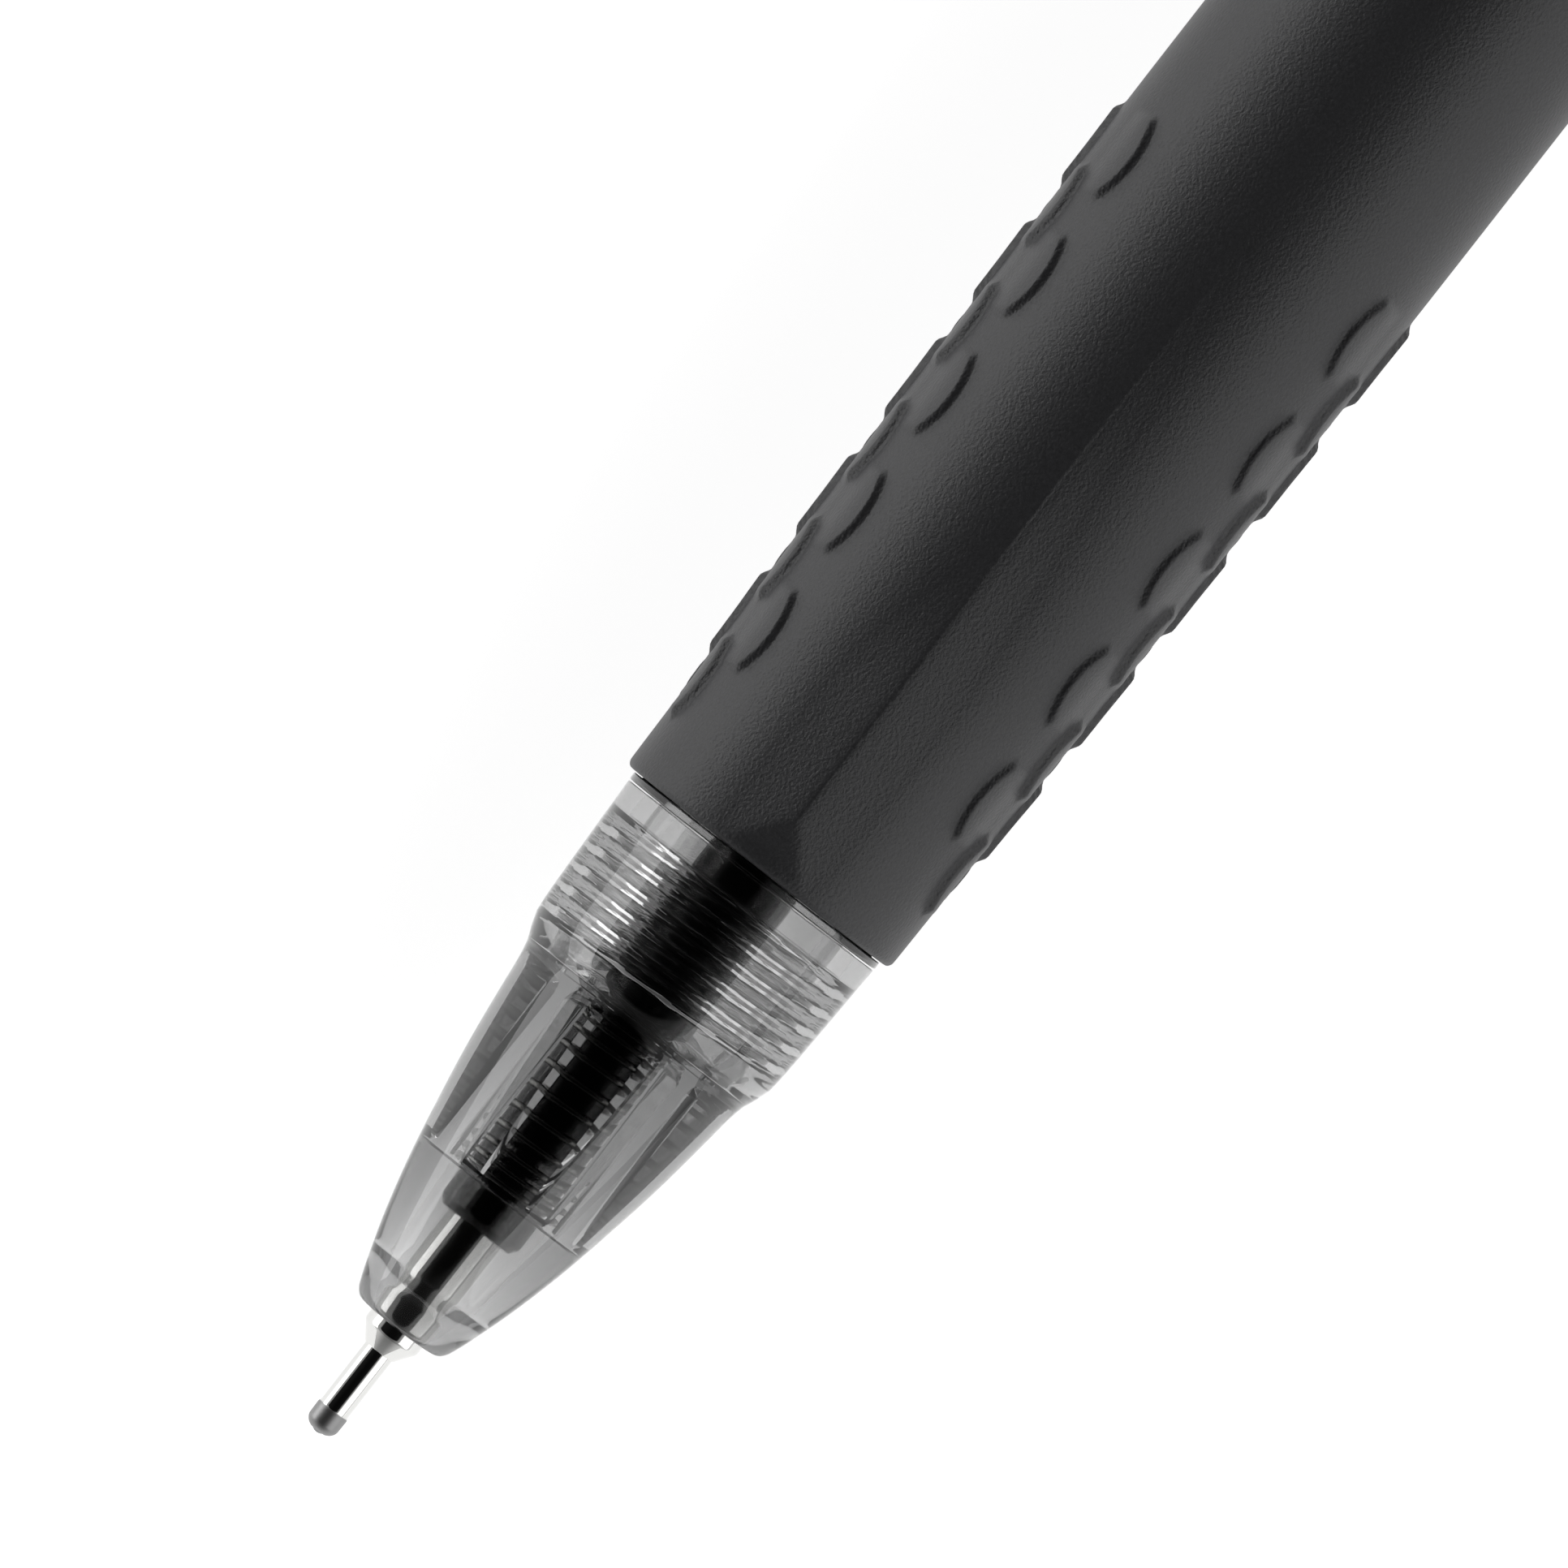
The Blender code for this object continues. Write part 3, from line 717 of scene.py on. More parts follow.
@dataclass
class Refill:
    """The holder, the ink tube, the ink, the grease with its float, and the vented plug."""

    holder: tuple[float, float] = (9.2, 33.0)
    holder_r: float = 1.68
    collar: tuple[float, float] = (18.2, 19.0)
    collar_r: float = 2.25
    neck_r: float = 1.85
    tube: tuple[float, float] = (28.05, 108.0)
    tube_r: float = 3.0
    bore_r: float = 2.5
    ink_end: float = 95.0
    grease_end: float = 102.0

    def build(self) -> None:
        """Build all the refill's plastic and liquid pieces."""
        self.make_holder()
        self.make_tube()
        self.make_ink()
        self.make_grease()
        self.make_plug()

    def make_holder(self) -> None:
        """The moulding that joins the stem to the tube."""
        stem, fine = 1.135, 1.01
        outline = rounded(
            [
                (self.holder[0], self.holder_r - 0.25, 0.05),
                (self.holder[0] + 0.3, self.holder_r, 0.1), (self.collar[0], self.holder_r, 0.08),
                (self.collar[0], self.collar_r, 0.1), (self.collar[1], self.collar_r, 0.1),
                (self.collar[1], self.neck_r, 0.1), (26.0, self.neck_r, 0.4), (27.0, 2.95, 0.2),
                (28.0, 2.95, 0.08), (28.0, self.bore_r - 0.03, 0.05),
                (self.holder[1], self.bore_r - 0.03, 0.2), (self.holder[1], 1.55, 0.1),
                (self.collar[1], 1.55, 0.1), (self.collar[1] - 0.4, fine, 0.1), (12.75, fine, 0.0),
                (12.75, stem, 0.0), (self.holder[0], stem, 0.05),
            ]
        )
        dress(Shape.lathe(outline, 128), "holder", SMOKE, Body.REFILL, "tip_holder")

    def make_tube(self) -> None:
        """The ink tube."""
        front, rear = self.tube
        outline = rounded(
            [
                (front, self.tube_r, 0.06), (rear, self.tube_r, 0.06), (rear, self.bore_r, 0.06),
                (front, self.bore_r, 0.06),
            ]
        )
        dress(Shape.lathe(outline, 128), "ink_tube", NATURAL, Body.REFILL, "reservoir_tube")

    def make_ink(self) -> None:
        """The ink, which stands in a shallow cup where it meets the grease."""
        r = self.bore_r + 0.01
        outline = rounded(
            [
                (12.78, 0.0, 0.0), (12.78, 1.02, 0.0), (18.6, 1.02, 0.1), (19.0, 1.56, 0.1),
                (33.04, 1.56, 0.0), (33.04, r, 0.1), (self.ink_end, r, 0.3),
                (self.ink_end - 0.35, 0.0, 0.0),
            ],
            closed=False,
        )
        dress(Shape.lathe(outline, 96, False), "ink", INK, Body.REFILL, "ink_column")

    def make_grease(self) -> None:
        """The grease and the float that keeps it level."""
        r = self.bore_r - 0.02
        front = self.ink_end + 0.02
        outline = rounded(
            [
                (front - 0.35, 0.0, 0.0), (front, r, 0.1), (self.grease_end + 0.3, r, 0.2),
                (self.grease_end, 1.6, 0.3), (self.grease_end, 1.23, 0.05),
                (front + 1.98, 1.23, 0.1), (front + 1.98, 0.0, 0.0),
            ],
            closed=False,
        )
        dress(Shape.lathe(outline, 96, False), "grease", GREASE, Body.REFILL, "ink_follower")
        start = front + 2.28
        outline = rounded(
            [(start, 0.0, 0.0), (start, 1.2, 0.15), (102.9, 1.2, 0.5), (102.9, 0.0, 0.0)], closed=False
        )
        dress(Shape.lathe(outline, 64, False), "float", NATURAL, Body.REFILL, "follower_float")

    def make_plug(self) -> None:
        """The vented plug in the tube's rear end."""
        bore = self.bore_r - 0.03
        outline = rounded(
            [
                (104.0, bore - 0.3, 0.1), (104.5, bore, 0.1), (108.05, bore, 0.05),
                (108.05, self.tube_r, 0.08), (111.0, self.tube_r, 0.25), (111.0, 0.4, 0.1),
                (104.0, 0.4, 0.1),
            ]
        )
        dress(Shape.lathe(outline, 96), "tail_plug_fine", BLACK, Body.REFILL, "tail_plug")


@dataclass
class ReturnSpring:
    """The spring between the nose's shoulder and the holder's collar."""

    start: float = 10.62
    stop: float = 18.14
    coil_r: float = 2.05
    wire_r: float = 0.13
    turns: int = 11
    per_turn: int = 56

    def build(self) -> None:
        """Build the spring, with close end turns."""
        count = self.turns * self.per_turn
        first = self.start + self.wire_r
        last = self.stop - self.wire_r
        path = []
        for i in range(count + 1):
            share = i / count
            eased = share - 0.06 * math.sin(2 * math.pi * share)
            turn = 2 * math.pi * share * self.turns
            place = first + (last - first) * eased
            path.append(Vector((place, self.coil_r * math.sin(turn), -self.coil_r * math.cos(turn))))
        shape = Shape.sweep(path, ring(self.wire_r, 12), Vector((1, 0, 0)))
        piece = shape.finish("spring_coil", SPRING.build())
        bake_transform(piece)
        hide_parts("return_spring")


@dataclass
class Thread:
    """The right-hand thread that joins the nose to the barrel."""

    start: float = 19.1
    turns: float = 4.6
    pitch: float = 0.82
    root_r: float = 4.0
    crest_r: float = 4.45

    def from_ridge(self, x: float, angle: float) -> tuple[float, float]:
        """Place a point beside the nearest ridge.

        Args:
            x: the place along the pen.
            angle: the angle about the axis.

        Returns:
            How far the ridge's centre is, and the turn of the thread that the point is on.
        """
        turn = (x - self.start) / self.pitch - (angle % (2 * math.pi)) / (2 * math.pi)
        nearest = round(turn)
        place = nearest + (angle % (2 * math.pi)) / (2 * math.pi)
        return abs(turn - nearest) * self.pitch, place

    def male(self, x: float, angle: float) -> float:
        """How far the ridge stands out from the root.

        Args:
            x: the place along the pen.
            angle: the angle about the axis.

        Returns:
            From 0, at the root, to 1, on the crest.
        """
        away, place = self.from_ridge(x, angle)
        fade = smooth(-0.08, 0.12, place) * (1 - smooth(self.turns - 0.12, self.turns + 0.08, place))
        return fade * (1 - smooth(0.07, 0.27, away))

    def female(self, x: float, angle: float) -> float:
        """How deep the nose's groove is.

        Args:
            x: the place along the pen.
            angle: the angle about the axis.

        Returns:
            From 0, on the bore, to 1, at the groove's floor.
        """
        away, place = self.from_ridge(x, angle)
        return smooth(-0.35, -0.1, place) * (1 - smooth(0.15, 0.34, away))


@dataclass
class Nose:
    """The clear nose: a slender ogive with inner flutes and a female thread."""

    thread: Thread
    front: float = 4.62
    rear: float = 24.38
    bore_r: float = 1.20
    seat: float = 10.5
    spring_bore_r: float = 2.40
    flutes: int = 6
    flute_span: tuple[float, float] = (10.6, 17.93)
    flute_floor: tuple[float, float] = (2.65, 3.55)
    flute_half: float = 9.75
    flute_round: float = 0.75
    step: float = 18.15
    relief: float = 23.4
    steps: int = 240

    def outer(self) -> Outline:
        """Draw the nose's outside.

        Returns:
            The outline from the front edge round to the rear edge.
        """
        body = [
            (4.96, 1.99), (5.5, 2.20), (6.1, 2.40), (7.2, 2.75), (8.3, 3.05), (9.4, 3.32),
            (10.6, 3.57), (11.7, 3.78), (12.8, 3.98), (13.9, 4.16), (15.0, 4.31), (16.2, 4.46),
            (17.2, 4.58), (17.9, 4.72), (18.4, 4.93), (18.9, 5.09), (19.4, 5.14), (20.1, 5.18),
            (21.8, 5.25), (23.4, 5.31),
        ]
        rim = [(self.front, 1.45, 0.0), (self.front, 1.72, 0.12), (4.78, 1.88, 0.1), (4.96, 1.99, 0.0)]
        nose = rounded(rim, False, 5)
        tail = rounded([(23.4, 5.31, 0.0), (self.rear, 5.35, 0.06), (self.rear, 5.0, 0.0)], False)
        return [*nose[1:-1], *through(body, 0.35), *tail[1:-1]]

    def inner(self) -> Outline:
        """Draw the nose's inside.

        Returns:
            The outline from the rear edge to the front, finest where the thread is.
        """
        bore = self.thread.root_r + 0.12
        loose = self.thread.crest_r + 0.15
        corners = [
            (self.rear, loose, 0.05), (self.relief, loose, 0.05), (self.relief - 0.15, bore, 0.08),
            (self.step, bore, 0.06), (self.step, self.spring_bore_r, 0.05),
            (self.seat, self.spring_bore_r, 0.06), (self.seat, 2.10, 0.05), (6.67, 1.83, 0.1),
            (5.77, self.bore_r, 0.1), (self.front, self.bore_r, 0.08),
        ]
        outline = rounded(corners, True, 3)
        fine = []
        for i, (one, other) in enumerate(zip(outline, outline[1:])):
            threaded = one[0] > self.step and one[0] <= self.relief
            step = 0.055 if threaded else 0.12
            fine += refined([one, other], step)[(1 if i else 0) :]
        return fine

    def flute_depth(self, x: float, angle: float, radius: float) -> float:
        """Sink the flutes into the spring's bore.

        Args:
            x: the place along the pen, in mm.
            angle: the place round the pen, in radians.
            radius: the bore's radius, in mm.

        Returns:
            The radius in a flute, or the bore's own between flutes.
        """
        first, last = self.flute_span
        if not first <= x <= last:
            return radius
        share = (x - first) / (last - first)
        floor = self.flute_floor[0] + (self.flute_floor[1] - self.flute_floor[0]) * share
        turn = (angle / (2 * math.pi) * self.flutes - 0.5) % 1.0
        away = min(turn, 1 - turn) * 360 / self.flutes
        half = self.flute_half
        end = (last - x) / self.flute_round
        if end < 1:
            half *= math.sqrt(max(0.0, 1 - (1 - end) ** 2))
        depth = 1 - smooth(half - 0.6, half + 0.6, away)
        return radius + (floor - radius) * depth * smooth(0.0, 0.25, x - first)

    def build(self) -> None:
        """Build the nose."""
        shape = Shape.lathe([*self.outer(), *self.inner()], self.steps)
        bore = self.thread.root_r + 0.12
        depth = self.thread.crest_r + 0.1 - bore

        def radius(x: float, angle: float, old: float) -> float:
            """Cut the flutes and the female thread.

            Args:
                x: the place along the pen.
                angle: the angle about the axis.
                old: the radius of the turned shape.

            Returns:
                The new radius.
            """
            if abs(old - self.spring_bore_r) < 0.02:
                return self.flute_depth(x, angle, old)
            if abs(old - bore) < 0.02 and x > self.step:
                return old + depth * self.thread.female(x, angle)
            return old

        shape.bend(radius)
        dress(shape, "nose_fine", CLEAR, Body.NOSE, "nose_cone", 50)


@dataclass
class Barrel:
    """The clear barrel, with its threaded spigot, its flange and the seat under the grip."""

    thread: Thread
    spigot_start: float = 18.3
    flange: tuple[float, float] = (24.43, 24.71)
    flange_r: float = 5.36
    seat_r: float = 5.0
    body_start: float = 68.5
    body_r: float = 6.15
    shoulder: float = 120.0
    end: float = 131.1
    steps: int = 192

    def build(self) -> None:
        """Build the barrel."""
        root = self.thread.root_r
        spigot = [
            (self.spigot_start, 3.5, 0.0), (self.spigot_start, root - 0.25, 0.08),
            (18.6, root, 0.1), (24.3, root, 0.0),
        ]
        front = rounded(spigot, False)[1:]
        threaded = refined([front[-2], front[-1]], 0.055)
        corners = [
            (24.3, root, 0.0), (self.flange[0], root, 0.0), (self.flange[0], self.flange_r, 0.06),
            (self.flange[1], self.flange_r, 0.06), (self.flange[1], self.seat_r, 0.05),
            (self.body_start, self.seat_r, 0.05), (self.body_start, self.body_r, 0.15),
            (self.shoulder, self.body_r, 0.1), (self.shoulder, 5.6, 0.05), (self.end, 5.6, 0.2),
            (self.end, 5.0, 0.1), (112.7, 5.0, 0.1), (112.7, 4.3, 0.1),
            (self.body_start + 2, 4.3, 0.5), (self.body_start, 3.6, 0.5), (25.71, 3.6, 0.5),
            (24.43, 3.3, 0.5), (self.spigot_start, 3.3, 0.08), (self.spigot_start, 3.5, 0.0),
        ]
        rest = rounded(corners, False)
        shape = Shape.lathe([*front[:-2], *threaded, *rest[1:-1]], self.steps)
        height = self.thread.crest_r - root

        def radius(x: float, angle: float, old: float) -> float:
            """Raise the male thread.

            Args:
                x: the place along the pen.
                angle: the angle about the axis.
                old: the radius of the turned shape.

            Returns:
                The new radius.
            """
            if abs(old - root) < 0.005 and 18.7 < x < 24.0:
                return old + height * self.thread.male(x, angle)
            return old

        shape.bend(radius)
        dress(shape, "barrel_fine", CLEAR, Body.PEN, "barrel", 50)


@dataclass
class Grip:
    """The rubber grip: a swelling sleeve with two flat cheeks and rows of raised pads."""

    front: float = 24.76
    rear: float = 68.2
    bore_r: float = 5.02
    steps: int = 380
    rings: float = 0.130
    pad_height: float = 0.22
    pad_half: float = 1.90
    pad_width: float = 1.25
    outer_rows: tuple[float, ...] = (54.0, 90.0, 126.0)
    inner_rows: tuple[float, ...] = (72.0, 108.0)
    outer_start: float = 31.3
    inner_start: float = 28.72
    pads: int = 5
    spacing: float = 5.05
    ridge_at: float = -0.5
    ridge_round: float = 0.22
    cheek_tilt: float = 21.5
    cheek_ends: tuple[float, float] = (42.0, 57.0)
    triangle_half: float = 1.6
    triangle_length: float = 2.1

    def outline(self) -> Outline:
        """Draw the sleeve without its pads.

        Returns:
            The outline, coarser behind the last pad.
        """
        swell = [
            (25.2, 5.745), (28.5, 5.80), (33.8, 5.96), (38.6, 6.05), (43.6, 6.12), (48.7, 6.19),
            (53.7, 6.24), (58.0, 6.25), (67.7, 6.25),
        ]
        rim = [(self.front, 5.3, 0.0), (self.front, 5.62, 0.1), (24.93, 5.735, 0.08), (25.2, 5.745, 0.0)]
        nose = rounded(rim, False, 3)
        tail = rounded([(67.7, 6.25, 0.0), (self.rear, 6.25, 0.3), (self.rear, 5.5, 0.0)], False, 5)
        bore = [(self.rear, self.bore_r), (self.front, self.bore_r)]
        last_pad = self.outer_start + (self.pads - 1) * self.spacing + self.pad_half
        side = through(swell, self.rings)
        side = [point for i, point in enumerate(side) if point[0] < last_pad + 0.3 or i % 4 == 0]
        return [*nose[1:-1], *side, *tail[1:-1], *bore]

    def pad(self, x: float, theta: float, radius: float) -> float:
        """The pads' share of their full height at a place.

        Args:
            x: the place along the pen, in mm.
            theta: the place round the pen, in degrees from the side that faces up.
            radius: the sleeve's radius there, in mm.

        Returns:
            From 0, between pads, to 1, on a pad's crest.
        """
        best = 0.0
        side = abs(theta)
        for rows, start in ((self.outer_rows, self.outer_start), (self.inner_rows, self.inner_start)):
            k = round((x - start) / self.spacing)
            if not 0 <= k < self.pads:
                continue
            u = (x - start - k * self.spacing) / self.pad_half
            if abs(u) >= 1:
                continue
            for row in rows:
                w = math.radians(side - row) * radius
                edge = -self.pad_width / 2 + 0.6 * u * u
                if not edge - 0.2 < w < 1.5:
                    continue
                rise = smooth(edge - 0.09, edge + 0.09, w)
                fall = 1 - smooth(edge + 0.1, 1.5, w)
                ends = 1 - smooth(0.74, 1.0, abs(u))
                best = max(best, rise * fall * ends)
        return best

    def ridge(self, x: float, theta: float, radius: float) -> float:
        """How far the two flat cheeks stand out where they meet, behind a small flat triangle.

        Args:
            x: the place along the pen, in mm.
            theta: the place round the pen, in degrees from the side that faces up.
            radius: the sleeve's radius there, in mm.

        Returns:
            The height over the round sleeve, in mm.
        """
        side = math.radians(theta - self.ridge_at)
        if math.cos(side) <= 0:
            return 0.0
        across = radius * math.sin(side)
        tilts = [math.radians(self.cheek_tilt * (1 - smooth(31.0, end, x))) for end in self.cheek_ends]
        rises = [radius / math.cos(tilt) - radius for tilt in tilts]
        tilt = tilts[0] if across > 0 else tilts[1]
        height = 0.0
        if abs(across) < radius * math.sin(tilt):
            flat = self.triangle_half * max(0.0, 1 - (x - self.front) / self.triangle_length)
            apart = abs(across) - flat
            wide = 0.5 * (abs(across) + flat + math.sqrt(apart**2 + self.ridge_round**2))
            line = radius / math.cos(tilt) - math.tan(tilt) * wide
            height = max(0.0, (line - radius * math.cos(side)) * math.cos(side))
        if across <= 0:
            height -= (rises[1] - rises[0]) * (1 - smooth(1.5, 6.0, -across))
        return height

    def build(self) -> None:
        """Build the grip."""
        shape = Shape.lathe(self.outline(), self.steps).crowd(0.45)

        def radius(x: float, angle: float, old: float) -> float:
            """Raise the pads and the ridge between the cheeks.

            Args:
                x: the place along the pen.
                angle: the angle about the axis.
                old: the radius of the turned shape.

            Returns:
                The new radius.
            """
            if old < 5.5:
                return old
            theta = 180 - math.degrees(angle)
            theta = (theta + 180) % 360 - 180
            pads = self.pad_height * self.pad(x, theta, old)
            return old + pads + self.ridge(x, theta, old)

        shape.bend(radius)
        dress(shape, "grip_fine", RUBBER, Body.PEN, "grip_sleeve", 60)


@dataclass
class Knock:
    """The guide sleeve, the rotor cam and the push button."""

    ribs: int = 4
    rib_r: float = 4.2
    steps: int = 192

    def build(self) -> None:
        """Build all three pieces."""
        self.make_sleeve()
        self.make_rotor()
        self.make_button()

    def off_rib(self, angle: float, radius: float, shift: float) -> float:
        """How far round a point lies from the nearest rib.

        Args:
            angle: the angle about the axis.
            radius: the radius at which the way round is measured.
            shift: how far the ribs are turned, as a share of their spacing.

        Returns:
            The way round to the rib's centre, in mm.
        """
        turn = (angle / (2 * math.pi) * self.ribs - shift) % 1.0
        return min(turn, 1 - turn) * 2 * math.pi / self.ribs * radius

    def make_sleeve(self) -> None:
        """The sleeve whose four guides turn the rotor."""
        outer = rounded([(113.0, 4.7, 0.0), (113.0, 4.95, 0.1), (130.8, 4.95, 0.1), (130.8, 4.7, 0.0)], False)
        bore = [(130.8, 4.5), *refined([(130.5, 4.5), (119.3, 4.5)], 0.25), (113.0, 4.5)]
        shape = Shape.lathe([*outer[1:-1], *bore], self.steps)

        def radius(x: float, angle: float, old: float) -> float:
            """Raise the guides inside the sleeve.

            Args:
                x: the place along the pen.
                angle: the angle about the axis.
                old: the radius of the turned shape.

            Returns:
                The new radius.
            """
            if old > 4.55 or not 119.2 < x < 130.6:
                return old
            away = self.off_rib(angle, 4.2, 0.5)
            front = smooth(119.9, 120.3, x)
            return old - 1.0 * front * (1 - smooth(1.42, 1.55, away))

        shape.bend(radius)
        dress(shape, "sleeve_fine", BLACK, Body.PEN, "cam_sleeve", 30)

    def make_rotor(self) -> None:
        """The rotor cam."""
        outline = rounded(
            [
                (111.3, 0.0, 0.0), (111.3, 3.2, 0.3), (119.0, 3.2, 0.1), (119.0, 2.0, 0.1),
                (124.0, 2.0, 0.5), (124.0, 0.0, 0.0),
            ],
            closed=False,
        )
        shape = Shape.lathe(refined(outline, 0.2), self.steps, False)

        def radius(x: float, angle: float, old: float) -> float:
            """Raise the rotor's ribs.

            Args:
                x: the place along the pen.
                angle: the angle about the axis.
                old: the radius of the turned shape.

            Returns:
                The new radius.
            """
            if old < 3.15 or not 115.0 < x < 119.3:
                return old
            away = self.off_rib(angle, 3.7, 0.0)
            return old + (self.rib_r - old) * (1 - smooth(0.55, 0.68, away)) * smooth(115.0, 115.2, x)

        shape.bend(radius)
        dress(shape, "rotor_fine", NATURAL, Body.ROTOR, "rotor_cam", 30)

    def make_button(self) -> None:
        """The push button, with its lugs and its toothed crown."""
        outline = rounded(
            [
                (134.8, 0.0, 0.0), (134.4, 2.4, 0.3), (120.3, 2.4, 0.0), (120.3, 3.3, 0.0),
                (132.6, 3.3, 0.1), (132.6, 3.6, 0.15), (141.1, 3.6, 0.4), (141.75, 3.1, 0.5),
                (141.9, 2.2, 0.4), (141.9, 0.0, 0.0),
            ],
            closed=False,
        )
        shape = Shape.lathe(refined(outline, 0.25), self.steps, False)

        def radius(x: float, angle: float, old: float) -> float:
            """Raise the button's lugs.

            Args:
                x: the place along the pen.
                angle: the angle about the axis.
                old: the radius of the turned shape.

            Returns:
                The new radius.
            """
            if old < 3.2 or not 124.0 < x < 127.0:
                return old
            away = self.off_rib(angle, 3.7, 0.0)
            return old + (self.rib_r - old) * (1 - smooth(0.55, 0.68, away))

        shape.bend(radius)
        for vert in shape.mesh.verts:
            x, y, z = vert.co
            if x < 121.4 and math.hypot(y, z) > 2.3:
                tooth = abs(((math.atan2(y, -z) / (2 * math.pi) * 8) % 1.0) * 2 - 1)
                vert.co.x = x + 0.9 * (1 - tooth) * (1 - smooth(120.3, 121.4, x))
        dress(shape, "button_fine", BLACK, Body.BUTTON, "push_button", 30)


@dataclass
class Rear:
    """The trim ring, the end cap and the sprung clip."""

    tilt: float = 65.5
    clip_width: float = 5.0
    clip_thick: float = 0.8
    clip_taper: float = 2.0

    def build(self) -> None:
        """Build all three pieces."""
        self.make_ring()
        self.make_cap()
        self.make_clip()

    def make_ring(self) -> None:
        """The polished trim ring."""
        outline = rounded(
            [
                (120.25, 6.22, 0.12), (121.0, 6.27, 0.3), (121.75, 6.22, 0.12),
                (121.75, 5.65, 0.05), (120.25, 5.65, 0.05),
            ]
        )
        dress(Shape.lathe(outline, 192), "trim_ring_fine", STEEL, Body.PEN, "trim_ring")

    def make_cap(self) -> None:
        """The end cap, with a slot for the clip's root."""
        outline = rounded(
            [
                (122.0, 6.25, 0.1), (133.2, 6.25, 0.5), (135.8, 5.9, 0.8), (136.8, 5.2, 0.4),
                (137.0, 4.4, 0.2), (137.0, 3.9, 0.15), (135.4, 3.9, 0.15), (135.0, 4.6, 0.1),
                (131.7, 4.6, 0.1), (131.4, 5.65, 0.05), (122.0, 5.65, 0.1),
            ]
        )
        cap = Shape.lathe(outline, 160).finish("cap_fine", BLACK.build())
        self.cut_slot(cap)
        fit(cap, Body.PEN, "end_cap")

    def cut_slot(self, cap: bpy.types.Object) -> None:
        """Cut the slot that the clip's root stands in.

        Args:
            cap: the finished end cap, whose mesh is replaced.
        """
        shape = Shape()
        bmesh.ops.create_cube(shape.mesh, size=1)
        size = (self.clip_thick + 0.5, self.clip_width + 0.5, 2.0)
        bmesh.ops.scale(shape.mesh, verts=shape.mesh.verts, vec=size)
        bmesh.ops.translate(shape.mesh, verts=shape.mesh.verts, vec=(133.4, 0, -6.3))
        turn = Matrix.Rotation(math.radians(self.tilt), 3, "X")
        bmesh.ops.rotate(shape.mesh, verts=shape.mesh.verts, cent=(0, 0, 0), matrix=turn)
        cutter = shape.finish("clip_slot", BLACK.build())
        change = cap.modifiers.new("clip_slot", "BOOLEAN")
        change.object = cutter
        change.operation = "DIFFERENCE"
        change.solver = "EXACT"
        bpy.context.view_layer.update()
        cut = cap.evaluated_get(bpy.context.evaluated_depsgraph_get())
        data = bpy.data.meshes.new_from_object(cut)
        cap.modifiers.clear()
        cap.data = data
        data.set_sharp_from_angle(angle=math.radians(40))
        bpy.data.objects.remove(cutter, do_unlink=True)

    def make_clip(self) -> None:
        """The clip: a bent strip with rounded edges, a rolled bump and a rounded free end."""
        line = rounded(
            [
                (133.4, 5.92, 0.0), (133.4, 9.2, 1.3), (98.3, 9.2, 1.6), (95.6, 6.9, 0.9),
                (92.0, 8.35, 0.0),
            ],
            closed=False,
            arc=10,
        )
        line = refined(line, 0.3)
        outward = Vector((0, math.sin(math.radians(self.tilt)), -math.cos(math.radians(self.tilt))))
        across = Vector((1, 0, 0)).cross(outward)
        path = [Vector((x, 0, 0)) + outward * r for x, r in line]
        sections = []
        total = len(path)
        lengths = [0.0]
        for one, other in zip(path, path[1:]):
            lengths.append(lengths[-1] + (other - one).length)
        for i, point in enumerate(path):
            ahead = (path[min(i + 1, total - 1)] - path[max(i - 1, 0)]).normalized()
            rise = ahead.cross(across).normalized()
            left = lengths[-1] - lengths[i]
            half = self.clip_width / 2
            if left < self.clip_taper:
                half *= 0.35 + 0.65 * math.sqrt(max(0.0, 1 - (1 - left / self.clip_taper) ** 2))
            sections.append([point + across * side + rise * up for side, up in self.section(half)])
        dress(Shape.skin(sections), "clip_fine", STEEL, Body.CLIP, "clip", 50)

    def section(self, half: float) -> Outline:
        """The strip's section: slightly crowned outside, with rounded edges.

        Args:
            half: half the strip's width.

        Returns:
            The section's points.
        """
        t = self.clip_thick / 2
        corners = [(-half, -t, 0.22), (half, -t, 0.22), (half, t, 0.3), (0.0, t + 0.06, 2.0), (-half, t, 0.3)]
        return rounded(corners, True, 4)


# ---------------------------------------------------------------------------
# The studio


